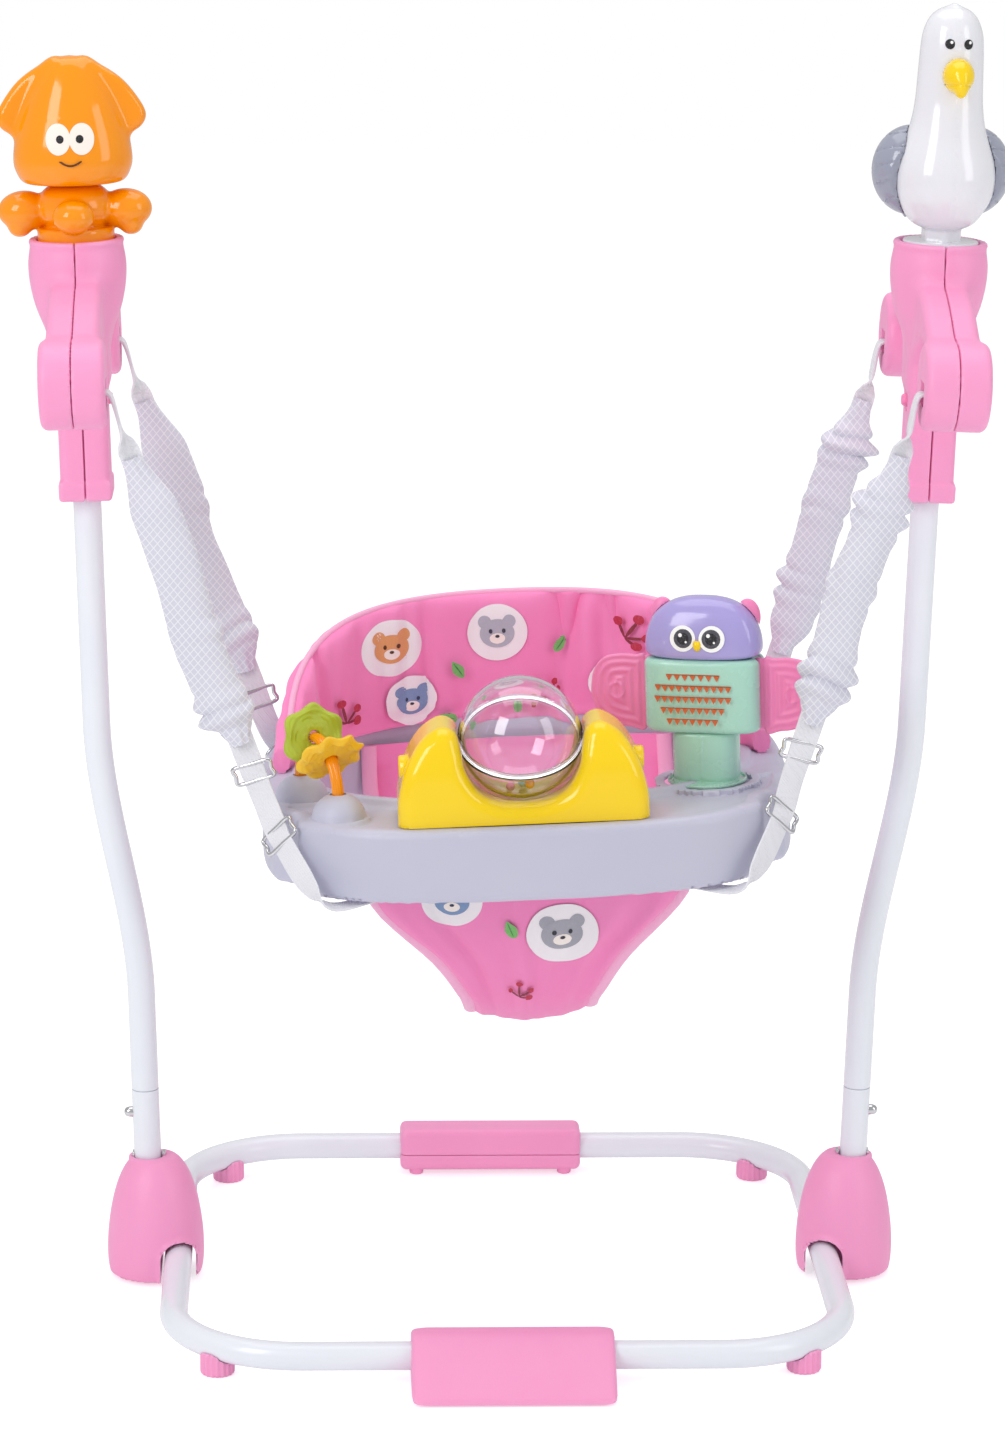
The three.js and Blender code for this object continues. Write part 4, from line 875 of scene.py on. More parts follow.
def trayField(p):
    x, y, z = p.T
    outer = ovalDistance(x, y, *tray["half"], tray["power"])
    hole = -ovalDistance(x, y - tray["openingY"], *tray["opening"], tray["openingPower"])
    flat = np.maximum(outer, hole)
    # each corner is scooped out where its strap passes
    scoop = np.hypot(np.abs(x) - 205, np.abs(y) - 141) - tray["groove"]
    flat = carve(flat, scoop, 5)
    solid = slab(flat, z + tray["height"] / 2, tray["height"] / 2, 7)
    # raised rim round the well, and a shallow dish in front of it
    rim = slab(np.abs(hole + 7) - 5, z, 3.6, 3)
    solid = fuse(solid, np.maximum(rim, flat), 3)
    dish = np.maximum(flat + 15, np.maximum(-2.4 - z, y + 62))
    solid = carve(solid, dish, 3)
    solid = carve(solid, np.maximum(flat + tray["wall"], z + tray["wall"] + 2), 2)
    for cx, cy in domes:
        solid = fuse(solid, slab(np.hypot(x - cx, y - cy) - 24, z + 1, 1.6, 1), 2)
        solid = fuse(solid, np.maximum(egg(p, (cx, cy, 0), (21, 21, 20)), -z - 2), 1.5)
        solid = carve(solid, np.maximum(np.hypot(x - cx, y - cy) - 5.4, 8 - z), 0.8)
    ring = np.hypot(x - owlSpot[0], y - owlSpot[1])
    solid = fuse(solid, slab(np.abs(ring - 38) - 4, z, 1.6, 1), 1)
    return solid


addPiece("tray", surfaceNet(trayField, (-212, -206, -60), (212, 206, 23), 2.6), "mouldedGreyPolypropylene", "seat",
         seatPlace, ["tray"])
print("tray ready")

back = {"half": (196, 180), "centre": 5, "height": 105, "thickness": 22, "folds": 2.4}


def backTop(angle):
    return back["height"] * (1 - (abs(angle) / 95) ** 3.6)


def backShape():
    # a padded wall: each section is a rounded loop, quilted by soft folds that run down from the piping
    rng = random.Random(7)
    folds = [(rng.uniform(-88, 88), rng.uniform(1.6, 5), rng.uniform(0.8, 2.8)) for _ in range(34)]
    seams = (-62, -24, 24, 62)
    angles = np.linspace(-90, 90, 241)
    points, loop = [], 44
    for angle in angles:
        a = math.radians(angle)
        top = backTop(angle)
        thick = back["thickness"] * (0.35 + 0.65 * float(ease(0, 9, 90 - abs(angle))))
        for k in range(loop):
            t = 2 * math.pi * k / loop
            # u runs 0 outside to 1 inside, v up the wall
            c, s = math.cos(t), math.sin(t)
            u = 0.5 - 0.5 * math.copysign(abs(c) ** 0.55, c)
            v = 0.5 + 0.5 * math.copysign(abs(s) ** 0.22, s)
            z = 0.3 + v * (top - 0.3)
            reach = math.sin(math.pi * min(max(v, 0), 1)) ** 0.5
            plump = 3.2 * reach
            for seam in seams:
                plump -= 4.2 * math.exp(-((angle - seam) / 1.4) ** 2) * reach
            for centre, width, depth in folds:
                lean = centre + 9 * (v - 0.5) * math.sin(centre)
                fade = 0.35 + 0.65 * v if depth > 1.6 else 1 - 0.5 * v
                plump -= back["folds"] * depth * fade * math.exp(-((angle - lean) / width) ** 2)
            side = -1 if u > 0.5 else 1
            crease = 2.2 * math.exp(-((v - 0.1) / 0.05) ** 2)  # pulled in where it meets the tray
            inset = thick * u - side * plump * (abs(u - 0.5) * 2) + side * crease
            points.append(((back["half"][0] - inset) * math.sin(a),
                           back["centre"] + (back["half"][1] - back["centre"] + 5 - inset) * math.cos(a), z))
    return np.array(points), ringFaces(len(angles), loop)


seatBack = addPiece("seatBack", backShape(), "wovenPinkPolyester", "seat", seatPlace, ["seat_back"])

pipingLine = []
for angle in np.linspace(-86, 86, 140):
    a = math.radians(angle)
    inset = back["thickness"] / 2
    pipingLine.append(((back["half"][0] - inset) * math.sin(a),
                       back["centre"] + (back["half"][1] - inset) * math.cos(a), backTop(angle) + 0.6))
addPiece("seatBackPiping", sweep(pipingLine, circle(2.6, 12), [(0, 0, 1)]), "wovenBinding", "seat", seatPlace)

sling = {"depth": 212, "front": -106, "rear": 156, "half": 122, "thickness": 3.2, "bow": 0.0016, "cup": 7}
slingLine = [(0, 0.066, 0.951), (0.015, 0.264, 0.967), (0.069, 0.467, 0.984), (0.153, 0.684, 0.607),
             (0.252, 0.868, 0.426), (0.374, 0.981, 0.393), (0.519, 1, 0.41), (0.656, 0.915, 0.508),
             (0.794, 0.708, 0.754), (0.901, 0.472, 0.951), (0.977, 0.264, 1), (1, 0.066, 1)]


def slingRows(steps):
    rows = smoothLine([(sling["front"] + a * (sling["rear"] - sling["front"]), -sling["depth"] * d,
                        sling["half"] * w) for a, d, w in slingLine], steps)
    out = []
    for i, (y, z, half) in enumerate(rows):
        after, before = rows[min(i + 1, len(rows) - 1)], rows[max(i - 1, 0)]
        ay, az = after[0] - before[0], after[1] - before[1]
        size = math.hypot(ay, az)
        out.append((y, z, half, az / size, -ay / size))
    return out


def slingPoint(row, u, push):
    y, z, half, oy, oz = row
    lift = push - sling["bow"] * half * half * u * u
    # towards the crotch the edges curl up
    cup = sling["cup"] * u * u * math.exp(-((z + 210) / 26) ** 2)
    return (u * half, y + oy * lift, z + oz * lift + cup)


def slingShape():
    rng = random.Random(11)
    rows = slingRows(9)
    columns = 48
    folds = [(rng.uniform(-1, 1), rng.uniform(0.035, 0.13), rng.uniform(-5.5, 5.5), rng.uniform(-0.5, 0.5))
             for _ in range(16)]
    points = []
    for i, row in enumerate(rows):
        s = i / (len(rows) - 1)
        soft = math.sin(math.pi * min(1, 1.25 * s)) if s < 0.4 else 1.0
        ripple = []
        for j in range(columns + 1):
            u = 2 * j / columns - 1
            push = 0
            for centre, width, height, slant in folds:
                push += height * math.exp(-((u - centre - slant * (s - 0.5)) / width) ** 2)
            push += 1.6 * math.sin(26 * s + 4 * u) * abs(u) ** 3
            calm = 1 - 0.85 * math.exp(-((s - 0.46) / 0.16) ** 2)
            ripple.append(push * (0.4 + 0.6 * soft) * calm * (0.25 if s < 0.04 or s > 0.96 else 1))
        for way in (-1, 1):
            points += [slingPoint(row, 2 * j / columns - 1, ripple[j] + way * sling["thickness"] / 2)
                       for j in range(columns + 1)[::-way]]
    return np.array(points), ringFaces(len(rows), 2 * columns + 2)


seatSling = addPiece("seatSling", slingShape(), "wovenPinkPolyester", "seat", seatPlace, ["seat_sling"])
bindings = []
for way in (-1, 1):
    rows = slingRows(5)
    line = [slingPoint(row, way, 0.4 * math.sin(i)) for i, row in enumerate(rows)]
    across = [(0, row[3], row[4]) for row in rows]
    bindings.append(sweep(line, [(3.6 * c, 6.4 * s) for c, s in circle(1, 16)], across))
slingBinding = addPiece("seatSlingBinding", joinShapes(*bindings), "wovenBinding", "seat", seatPlace)
print("seat ready")

# Ball toy

cradle = {"x": -6, "y": -152, "halfDepth": 38, "socket": 49.6}
ball = {"radius": 47, "wall": 2, "height": 60, "tilt": 29}
cradleHalf = [(0, 15), (18, 16.5), (33, 24), (43, 40), (46, 55), (49, 68), (57, 74), (66, 72.5), (78, 63), (89, 44),
              (95, 22), (96, 5), (96, -14)]
cradleHalf = openOutline([(0, 0)] + cradleHalf + [(0, 0)])[1:-1]
cradleCurve = [(-x, z) for x, z in cradleHalf[::-1]] + cradleHalf[1:]


def cradleField(p):
    x, y, z = p.T
    # the horns are rounder than the foot
    narrow = 8 * ease(30, 76, z) ** 1.5
    solid = slab(outlineDistance(x, z, cradleCurve), np.abs(y) + narrow, cradle["halfDepth"], 11)
    for way in (-1, 1):
        solid = fuse(solid, slab(np.hypot(y, z - 40) - 9, x - way * 89, 5, 2), 1.5)
    solid = carve(solid, np.linalg.norm(p - np.array((0, 0, ball["height"])), axis=1) - cradle["socket"], 1.2)
    solid = carve(solid, np.maximum(np.hypot(y, z - ball["height"]) - 4, np.abs(x) - 60), 0.6)
    return np.maximum(solid, 0.2 - z)


cradlePlace = seatPlace @ at(cradle["x"], cradle["y"], 0.3)
addPiece("ballCradle", surfaceNet(cradleField, (-99, -41, -1), (99, 41, 77), 1.9), "polishedYellowAbs", "seat",
         cradlePlace, ["ball_cradle"])
ballPlace = seatPlace @ at(cradle["x"], cradle["y"], ball["height"]) @ spin(ball["tilt"], "X")


def halfBall():
    radius, inside = ball["radius"], ball["radius"] - ball["wall"]
    outer = [(radius * math.sin(t), radius * math.cos(t)) for t in np.linspace(0, 1.51, 30)]
    inner = [(inside * math.sin(t), inside * math.cos(t)) for t in np.linspace(1.5, 0, 30)]
    flange = [(48, 2.2), (48.6, 1.8), (48.6, 0.5), (48.2, 0.15), (44, 0.15), (43.6, 0.5), (43.6, 2.2), (44, 2.6)]
    return turnedBody(outer + flange + inner, 72)


for name, turn in (("ballUpper", 0), ("ballLower", 180)):
    addPiece(name, halfBall(), "mouldedClearPolycarbonate", "ball", ballPlace @ spin(turn, "X"),
             ["ball_" + name[4:].lower()])
pins = [turnedBody([(0, way * 47.4), (3, way * 47.4), (3, way * 54), (0, way * 54)][::way], 20) for way in (-1, 1)]
addPiece("ballPins", moved(joinShapes(*pins), spin(90, "Y")), "mouldedClearPolycarbonate", "ball", ballPlace)
bead = turnedBody([(3.6 * math.sin(t), -3.6 * math.cos(t)) for t in np.linspace(0, math.pi, 17)], 28)
for name, spot, ink in (("ballBeadOrange", (5, -27, -30), "polishedOrangePolystyrene"),
                        ("ballBeadPink", (-9, 2, -40.2), "mouldedRosePolypropylene"),
                        ("ballBeadGreen", (1, 10, -39.6), "mouldedMintAbs")):
    addPiece(name, bead, ink, "ball", seatPlace @ at(cradle["x"] + spot[0], cradle["y"] + spot[1],
                                                     ball["height"] + spot[2]))
print("ball ready")

# Owl toy

owl = {"half": (46, 23), "turn": -18, "bodyBase": 42.3, "headBase": 100.6}
owlPlace = seatPlace @ at(owlSpot[0], owlSpot[1], 0.3) @ spin(owl["turn"], "Z")
bodyBase, headBase = owl["bodyBase"], owl["headBase"]


def owlStemField(p):
    x, y, z = p.T
    solid = slab(ovalDistance(x, y, 25.8, 18.9, 3), z - 22, 20, 4)
    ring = np.hypot(x, y)
    plate = slab(ring - 31, z - 1.3, 1.3, 0.8)
    turn = np.arctan2(y, x)
    arc = np.maximum(np.abs(ring - 28) - 1.3, 1.6 - 6 * np.abs(np.sin(1.5 * turn)))
    solid = fuse(solid, carve(plate, np.maximum(arc, 0.6 - z), 0.4), 1.5)
    return carve(solid, np.hypot(x, y + 18.9) - 0.6, 0.5)


def owlBodyField(p):
    x, y, z = p.T
    solid = slab(ovalDistance(x, y, *owl["half"], 4), z - bodyBase - 29, 29, 5)
    for way in (-1, 1):
        solid = carve(solid, block(p, (way * 46, 0, bodyBase + 29), (6, 7, 31), 1.5), 1.5)
    return solid


headShape = openOutline([(-5, headBase), (40, headBase + 0.2), (45, headBase + 3), (46, headBase + 10),
                             (44, headBase + 21), (38, headBase + 33), (27, headBase + 42), (13, headBase + 46.4),
                             (0, headBase + 47), (-5, headBase + 47)])


def owlHeadField(p):
    x, y, z = p.T
    a, b = owl["half"]
    k = ((np.abs(x) / a) ** 2.8 + (np.abs(y) / b) ** 2.8) ** (1 / 2.8)
    return outlineDistance(a * k, z, headShape)


def owlEarField(p):
    ear = egg(folded(p), (34, 7, headBase + 30), (10, 5, 14))
    return np.maximum(ear, -owlHeadField(p) + 0.4)


owlPieces = {
    "owlStem": (owlStemField, (-33, -33, -1), (33, 33, 44), 1.2, "mouldedMintAbs", "seat", ["owl_stem"]),
    "owlBody": (owlBodyField, (-49, -26, 41), (49, 26, 102), 1.5, "mouldedMintAbs", "owl_body", ["owl_body"]),
    "owlHead": (owlHeadField, (-49, -26, 99), (49, 26, 150), 1.4, "polishedVioletAbs", "owl_head", ["owl_head"]),
    "owlEars": (owlEarField, (-47, -3, 112), (47, 18, 152), 1.0, "mouldedRosePolypropylene", "owl_head", []),
}
made = {}
for name, (field, low, high, step, material, rider, nodes) in owlPieces.items():
    made[name] = addPiece(name, surfaceNet(field, low, high, step), material, rider, owlPlace, nodes)

bunting = []
for row, count in enumerate((7, 11, 11, 9, 7)):
    z = 89 - row * 8.6
    spread = (19, 28, 28, 23, 18)[row]
    bunting.append(printShape("oval", -4, z + 0.3, spread + 2.5, 0.45, "#b4561e", 0, 8))
    for i in range(count):
        x = -4 - spread + 2 * spread * i / (count - 1)
        bunting.append(printShape("half", x, z, 2.5, 4.6, "#d3602a", 0, 1.0))
addPrint("owlBunting", made["owlBody"], [(owlPlace, bunting)], "owl_body")
face = []
for way in (-1, 1):
    face += [printShape("oval", way * 11.6, 118, 10.2, 10.2, "#ffffff"),
             printShape("oval", way * 11.2, 118, 7.4, 7.4, "#4a4853"),
             printShape("oval", way * 11.2, 118, 4.6, 4.6, "#1c1a22"),
             printShape("oval", way * 11.2 - 2.2, 120.6, 1.5, 1.5, "#ffffff"),
             printShape("oval", way * 11.2 + 2.4, 115.4, 0.9, 0.9, "#ffffff")]
addPrint("owlEyes", made["owlHead"], [(owlPlace, face)], "owl_head")
beak = surfaceNet(lambda p: np.maximum(egg(p, (0, -22, 113), (3.4, 5, 5)), p[:, 2] - 116.5),
                  (-5, -29, 106), (5, -15, 119), 0.6)
addPiece("owlBeak", beak, "polishedYellowAbs", "owl_head", owlPlace)
wingCurve = flatOutline([(0, 0), (12, 0.5), (24, 2.5), (37, 9), (43.5, 22), (44, 34), (41, 47), (33, 56), (20, 59),
                         (8, 58.5), (0, 57.5), (-0.5, 30)], 5)


def owlWingField(p):
    x, y, z = p[:, 0] - 47.5, p[:, 1], p[:, 2] - bodyBase + 1.5
    flat = outlineDistance(x, z, wingCurve)
    # moulded lines follow the edge, and a ring sits in the middle
    ridges = 0.55 * np.cos(2 * math.pi * flat / 6.5) * ease(1, 3, -flat)
    ring = 1.1 * np.exp(-((np.hypot(x - 23, z - 30) - 6) / 1.3) ** 2)
    blade = slab(flat, y, 2.5, 1.6) - ridges - ring * (flat < -4)
    tab = block(p, (45.5, 0, bodyBase + 28.5), (3.5, 2, 24), 0.8)
    hinge = slab(np.hypot(p[:, 0] - 44, y) - 3.6, p[:, 2] - bodyBase - 29, 28, 1)
    return np.minimum(fuse(blade, tab, 1), hinge)


wingShape = surfaceNet(owlWingField, (38, -6, 38), (94, 6, 104), 1.1)
for side in (-1, 1):
    place = owlPlace if side > 0 else owlPlace @ mirrorX
    tag = sideNames[side]
    addPiece("owlWing" + tag, wingShape, "mouldedRosePolypropylene", "owl_wing_" + nodeSides[side], place,
             ["owl_wing_" + nodeSides[side]])
print("owl ready")

# Teether

teether = {"rise": 40, "foot": 16, "section": (4.6, 3.8)}
archEnds = [np.array((*spot, teether["foot"])) for spot in domes]


def archPoint(t):
    turn = math.pi * t
    p = archEnds[0] + (archEnds[1] - archEnds[0]) * (1 - math.cos(turn)) / 2
    return p + np.array((0, 0, teether["rise"] * math.sin(turn)))


archAcross = np.cross(archEnds[1] - archEnds[0], (0, 0, 1))
wide, high = teether["section"]
ribbed = [((wide - 0.5 * (k % 2)) * c, (high - 0.4 * (k % 2)) * s) for k, (c, s) in enumerate(circle(1, 28))]
addPiece("teetherArch", sweep([archPoint(t) for t in np.linspace(0.0, 1.0, 60)], ribbed, [archAcross]),
         "polishedOrangePolystyrene", "seat", seatPlace, ["teether_arch"])


def ruffled(waves, outer):
    points = []
    profile = [(5.4, -2.6), (9, -3.6), (16, -3.0), (21, -3.4), (24, -2.2), (outer, 0), (24, 2.2), (21, 3.4), (16, 3.0),
               (9, 3.6), (5.4, 2.6), (5.2, 0)]
    line = smoothLine([(r, z, 0) for r, z in profile], 4, closed=True)
    sides = 120
    for i in range(sides):
        a = 2 * math.pi * i / sides
        for r, z, _ in line:
            out = ease(12, 24, r)
            wave = math.cos(waves * a)
            rr = r + out * 1.8 * wave
            zz = z + out * 1.5 * math.sin(waves * a) + 0.5 * math.cos(r * 1.5 + 2 * wave) * (1 if z > 0 else -1) * (
                1 if 8 < r < 22 else 0)
            points.append((rr * math.cos(a), rr * math.sin(a), zz))
    return np.array(points), ringFaces(sides, len(line), closed=True)


for name, spot, waves, outer, material, node in (
    ("teetherDiscYellow", 0.27, 8, 26.0, "mouldedYellowSilicone", "yellow"),
    ("teetherDiscGreen", 0.56, 6, 25.2, "mouldedLimeSilicone", "green"),
):
    along = Vector(archPoint(spot + 0.02) - archPoint(spot - 0.02)).normalized()
    place = seatPlace @ Matrix.Translation(archPoint(spot)) @ Vector((0, 0, 1)).rotation_difference(
        along).to_matrix().to_4x4()
    addPiece(name, ruffled(waves, outer), material, "disc_" + node, place, ["teether_disc_" + node])
print("teether ready")

# Suspension

webbing = {"width": 20, "thickness": 1.8, "under": -60.2}  # passes below the tray at that height
strap = {"width": 17, "thickness": 2.4}
sleeve = {"share": 0.7, "half": (21, 12.8), "cloth": 0.8, "girth": 0.1, "slack": 1.2}  # girth in metres
# where each cover is bunched: place along it, how far the bunch spreads, depth and number of its folds
gather = {
    (-1, -1): [(0.89, 0.07, 7.0, 14), (0.62, 0.06, 2.4, 11)],
    (1, -1): [(0.86, 0.07, 7.0, 14), (0.4, 0.06, 2.0, 11)],
    (-1, 1): [(0.19, 0.08, 10.0, 14), (0.83, 0.08, 9.0, 13), (0.5, 0.07, 3.2, 11)],
    (1, 1): [(0.18, 0.07, 10.0, 15), (0.74, 0.08, 7.0, 13), (0.42, 0.07, 3.0, 11)],
}


def toWorld(place, x, y, z):
    return np.array(place @ Vector((x, y, z)))


def coverTube(start, end, across, face, seed, bunches):
    # a fabric sleeve drawn in at both ends over a longer cut length, so it bunches in places
    rng = random.Random(seed)
    phases = [rng.uniform(0, 6.28) for _ in range(10)]
    rows, sides = 190, 60
    width = 1.02 - 0.06 * len(bunches)
    points = []
    for layer in (0, 1):
        for i in range(rows + 1):
            s = i / rows
            fat = 0.4 + 0.6 * float(ease(0, 0.2, s)) * float(ease(0, 0.12, 1 - s))
            bend = math.sin(math.pi * s)
            sway = 4 * bend * math.sin(5.2 * s + phases[0])
            centre = start + (end - start) * s + across * sway
            bunched = [(depth * math.exp(-((s - spot) / wide) ** 2), count) for spot, wide, depth, count in bunches]
            for j in range(sides):
                t = 2 * math.pi * j / sides
                push = 0.9 * math.sin(3 * t + 4 * s + phases[1]) * math.sin(9 * s + phases[2]) * bend
                push += 0.8 * math.sin(21 * s + 2 * t + phases[3]) * math.sin(2 * t + phases[4]) * bend
                for k, (depth, count) in enumerate(bunched):
                    ride = 2 * math.pi * count * s + 1.6 * math.sin(t + phases[5 + k]) + 0.9 * math.sin(
                        2 * t + phases[6 + k])
                    push += depth * (1.2 * abs(math.sin(ride / 2)) - 0.15) * (0.6 + 0.4 * math.sin(t + 3 * k + phases[7]))
                pleat = (1 - min(1, 3 * bend)) * 1.7 * math.cos(8 * t + phases[8])
                r = width + (push + pleat) / 17
                skin = sleeve["cloth"] * layer
                wide, deep = sleeve["half"]
                points.append(centre + across * (wide * r * fat - skin) * math.cos(t)
                              + face * (deep * r * max(fat, 0.72) - skin) * math.sin(t))
    faces = []
    ring = rows * sides + sides
    for i in range(rows):
        for j in range(sides):
            a, b = i * sides + j, i * sides + (j + 1) % sides
            faces.append((a, b, b + sides, a + sides))
            faces.append((ring + b, ring + a, ring + a + sides, ring + b + sides))
    for j in range(sides):
        a, b = j, (j + 1) % sides
        faces.append((b, a, ring + a, ring + b))
        a, b = rows * sides + a, rows * sides + b
        faces.append((a, b, ring + b, ring + a))
    return np.array(points), faces


def ringShape(width, height, wire):
    line = flatOutline([(width / 2, 0), (width / 2, height / 2), (0, height / 2 + 0.4), (-width / 2, height / 2),
                        (-width / 2, 0), (-width / 2, -height / 2), (0, -height / 2 - 0.4), (width / 2, -height / 2)],
                       5)
    return sweep([(x, y, 0) for x, y in line], circle(wire, 12), [(0, 0, 1)], closed=True)


def facing(origin, u, v):
    w = np.cross(u, v)
    m = Matrix.Identity(4)
    for i, axis in enumerate((u, v, w)):
        for k in range(3):
            m[k][i] = axis[k]
    for k in range(3):
        m[k][3] = origin[k]
    return m


for end in (-1, 1):
    for side in (-1, 1):
        tag = endNames[end] + sideNames[side]
        nodeTag = "%s_%s" % (endNames[end].lower(), nodeSides[side])
        outlet = np.array((side * (postOffset(headBottom) + post["lean"] * 110 - 25), end * 130 + 18, headBottom + 104))
        corner = toWorld(seatPlace, side * 204, end * 127, 12)
        along = corner - outlet
        span = np.linalg.norm(along)
        along /= span
        across = np.array((-along[2], 0, along[0]))
        across /= np.linalg.norm(across)
        face = np.cross(along, across)
        face /= np.linalg.norm(face)
        foreAft = np.array((0.0, 1.0, 0.0))
        coverLength = sleeve["share"] * span
        coverFrom = (span - coverLength) * 0.52
        coverTo = coverFrom + coverLength
        springFrom = coverFrom + 0.13 * span
        straight = 0.6 * coverFrom
        half = foreAft + across
        half /= np.linalg.norm(half)
        run = [outlet + np.array((side * 6, 0, 0)), outlet + np.array((-side * 3, 0, -2))]
        run += [outlet + along * d for d in (straight, (straight + coverFrom) / 2, coverFrom + 2, springFrom - 2)]
        ways = [foreAft, foreAft, foreAft, half, across, across]
        shape = sweep(smoothLine(run, 10), band(strap["width"], strap["thickness"]), smoothLine(ways, 10))
        addPiece("strapUpper" + tag, shape, "ribbedWebbing", "frame", None, ["strap_upper_" + nodeTag])
        start, stop = outlet + along * coverFrom, outlet + along * coverTo
        cloth = addPiece("springCover" + tag, coverTube(start, stop, across, face, 5 + end + 3 * side,
                                                        gather[(end, side)]),
                         "latticePrintedPolyester", None, None, ["spring_cover_" + nodeTag])
        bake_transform(cloth)
        under = webbing["under"]
        line = [outlet + along * (springFrom + 0.44 * span + 2), stop, corner]
        for dx, dy, z in ((17, 52, -14), (37, 25, -44), (54, 22, under), (92, 46, under)):
            line.append(toWorld(seatPlace, side * (209 - dx), end * (203 - dy), z))
        outwards = np.array((side, -end, 0)) / math.sqrt(2)
        first = across if across.dot(outwards) > 0 else -across
        between = (first + outwards) / np.linalg.norm(first + outwards)
        inwards = np.array((0, -end, 0.0))
        ways = smoothLine([first, first, between, outwards, outwards, inwards, inwards], 10)
        path = smoothLine(line, 10)
        shape = sweep(path, band(webbing["width"], webbing["thickness"]), ways)
        addPiece("webbing" + tag, shape, "ribbedWebbing", "seat", None, ["webbing_" + nodeTag])
        # a plated slider on the webbing above the tray and a ring where it turns under
        rings = []
        for spot, width, height in ((15, 29, 13), (29, 29, 14)):
            here = path[spot]
            way = path[spot + 1] - path[spot - 1]
            way /= np.linalg.norm(way)
            u = np.array(ways[spot], float)
            u -= way * u.dot(way)
            u /= np.linalg.norm(u)
            rings.append(moved(ringShape(width, height, 1.7), facing(here, u, way)))
        addPiece("slider" + tag, joinShapes(*rings), "platedSteel", "seat", None)
print("suspension ready")

# Prints on the padded back and the sling


def animalPrint(x, z, size, coat, dark):
    # a round-eared head on a white disc
    s = 0.52 * size
    shapes = [printShape("oval", x, z, size, 0.94 * size, "#fbf7fa")]
    shapes += [printShape("oval", x + way * 0.78 * s, z + 0.7 * s, 0.42 * s, 0.42 * s, coat) for way in (-1, 1)]
    shapes += [printShape("oval", x, z - 0.05 * s, 1.1 * s, 0.92 * s, coat),
               printShape("oval", x, z - 0.38 * s, 0.5 * s, 0.34 * s, "#fff6ee")]
    shapes += [printShape("oval", x + way * 0.42 * s, z + 0.1 * s, 0.12 * s, 0.15 * s, dark) for way in (-1, 1)]
    shapes.append(printShape("oval", x, z - 0.24 * s, 0.14 * s, 0.1 * s, dark))
    return shapes


def sprigPrint(x, z, size, turn=0):
    # a bent twig with berries at the ends of its branches
    shapes = []
    for reach, way in ((1.0, 90), (0.75, 35), (0.75, 140), (0.5, -8)):
        a = math.radians(way + turn)
        mid = reach * size / 2
        shapes.append(printShape("oval", x + mid * math.cos(a), z + mid * math.sin(a), mid, 0.07 * size, "#8c2f3c",
                                 way + turn))
        shapes.append(printShape("oval", x + 2.1 * mid * math.cos(a), z + 2.1 * mid * math.sin(a), 0.2 * size,
                                 0.2 * size, "#c02c48"))
    return shapes


def leafPrint(x, z, size, turn=0):
    return [printShape("drop", x, z, 0.55 * size, size, "#79c36a", turn),
            printShape("oval", x, z, 0.06 * size, 0.8 * size, "#3f8a4b", turn)]


backPrints = (animalPrint(-100, 70, 25, "#e8a46a", "#5d3414") + animalPrint(-12, 74, 25, "#b7b9c6", "#3b3d4c")
              + animalPrint(84, 30, 22, "#f1c05e", "#6a3d12") + animalPrint(-86, 24, 22, "#7f9cc4", "#2b3c5b")
              + sprigPrint(-142, 18, 17, 10) + sprigPrint(96, 70, 18, -30) + sprigPrint(30, 20, 14, 40)
              + leafPrint(-48, 46, 8, 30) + leafPrint(38, 62, 8, -40) + leafPrint(132, 44, 8, 20)
              + leafPrint(-58, 6, 7, 80) + leafPrint(2, 20, 8, 0))
addPrint("seatBackPrint", seatBack, [(seatPlace, backPrints)], "seat")
slingPrints = (animalPrint(-62, -86, 24, "#7f9cc4", "#2b3c5b") + animalPrint(24, -118, 29, "#a9aab4", "#33343f")
               + sprigPrint(-10, -176, 12, 0) + leafPrint(-16, -110, 8, 20) + leafPrint(78, -74, 8, -30))
addPrint("seatSlingPrint", seatSling, [(seatPlace @ at(0, -120, 0), slingPrints)], "seat")

# CAD pieces that show as they are
for name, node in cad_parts.items():
    if not node.hide_render:
        node.data.materials.clear()
        node.data.materials.append(finish["platedSteel"])
        print("kept from CAD:", name)

# Studio

scene = bpy.context.scene
scene.view_settings.view_transform = "Standard"
studio = {"world": 0.56, "key": 48, "fill": 20, "top": 34, "floorGlow": 0.5}

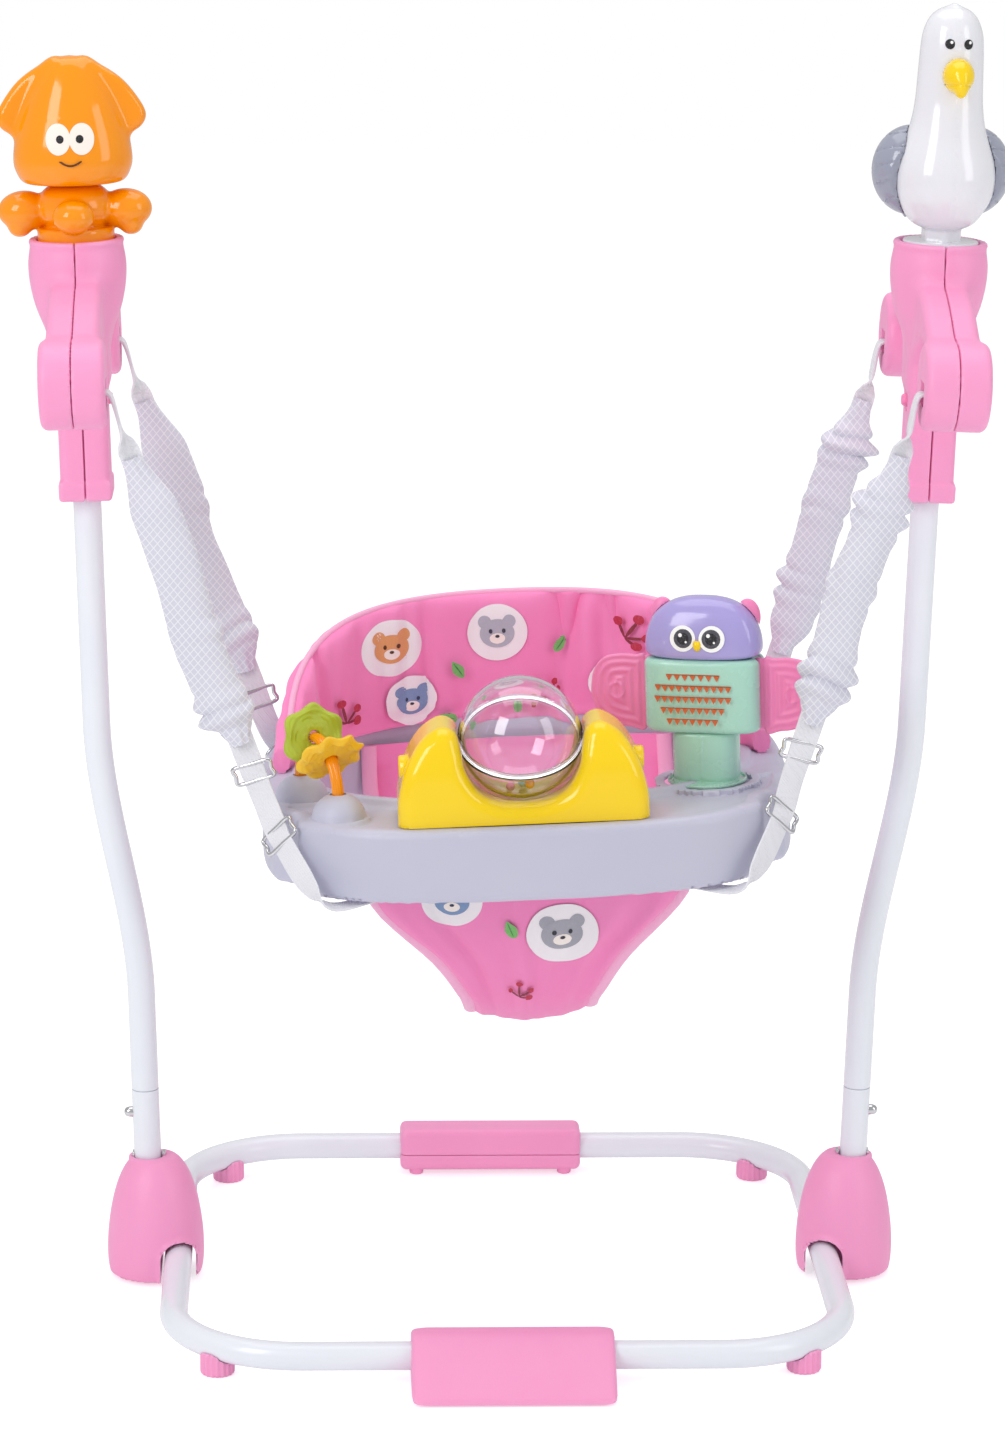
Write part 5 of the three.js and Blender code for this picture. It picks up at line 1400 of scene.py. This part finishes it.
bpy.ops.mesh.primitive_plane_add(size=16, location=(0, 0, 0))
floor = bpy.context.object
floor.name = "floor"
material, tree, shader, place = startMaterial("paleStudioVinyl", {
    "Roughness": 0.16, "IOR": 1.4, "Emission Color": (1, 1, 1, 1),
})
seen = addNode(tree, "ShaderNodeLightPath").outputs["Is Camera Ray"]
glow = addNode(tree, "ShaderNodeMapRange", {"To Min": 0.1, "To Max": studio["floorGlow"]}, {"Value": seen})
tree.links.new(glow.outputs["Result"], shader.inputs["Emission Strength"])
soft = addNode(tree, "ShaderNodeTexNoise", {"Scale": 1.5, "Detail": 2.0}, {"Vector": place})
tree.links.new(mixed(tree, soft.outputs["Fac"], paint("#fbfbfc"), paint("#f4f4f6")), shader.inputs["Base Color"])
floor.data.materials.append(material)

world = bpy.data.worlds.new("studioWorld")
scene.world = world
world.use_nodes = True
tree = world.node_tree
background = tree.nodes["Background"]
isCamera = addNode(tree, "ShaderNodeLightPath").outputs["Is Camera Ray"]
power = addNode(tree, "ShaderNodeMapRange", {"To Min": studio["world"], "To Max": 1.0}, {"Value": isCamera})
background.inputs["Color"].default_value = (1, 1, 1, 1)
tree.links.new(power.outputs["Result"], background.inputs["Strength"])

for name, spot, size, energy in (
    ("keyLight", (-2.4, -2.6, 2.4), (1.4, 2.2), studio["key"]),
    ("fillLight", (2.8, -2.0, 1.8), (1.2, 2.4), studio["fill"]),
    ("topLight", (0.0, 0.4, 3.4), (3.0, 2.4), studio["top"]),
):
    data = bpy.data.lights.new(name, "AREA")
    data.shape, data.size, data.size_y = "RECTANGLE", *size
    data.energy = energy
    light = bpy.data.objects.new(name, data)
    light.location = spot
    light.rotation_euler = (Vector((0, 0, 0.55)) - Vector(spot)).to_track_quat("-Z", "Y").to_euler()
    scene.collection.objects.link(light)

camera = {"place": (-0.1478, -3.6999, 1.3415), "right": 2.24, "down": 13.25, "roll": 0.52, "lens": 120.8}
data = bpy.data.cameras.new("camera")
data.lens, data.sensor_width = camera["lens"], 36
eye = bpy.data.objects.new("camera", data)
yaw, pitch = math.radians(camera["right"]), math.radians(camera["down"])
forward = Vector((math.sin(yaw) * math.cos(pitch), math.cos(yaw) * math.cos(pitch), -math.sin(pitch)))
eye.matrix_world = Matrix.Translation(camera["place"]) @ forward.to_track_quat("-Z", "Y").to_matrix().to_4x4() @ spin(
    camera["roll"], "Z")
scene.collection.objects.link(eye)
scene.camera = eye

print("scene ready")
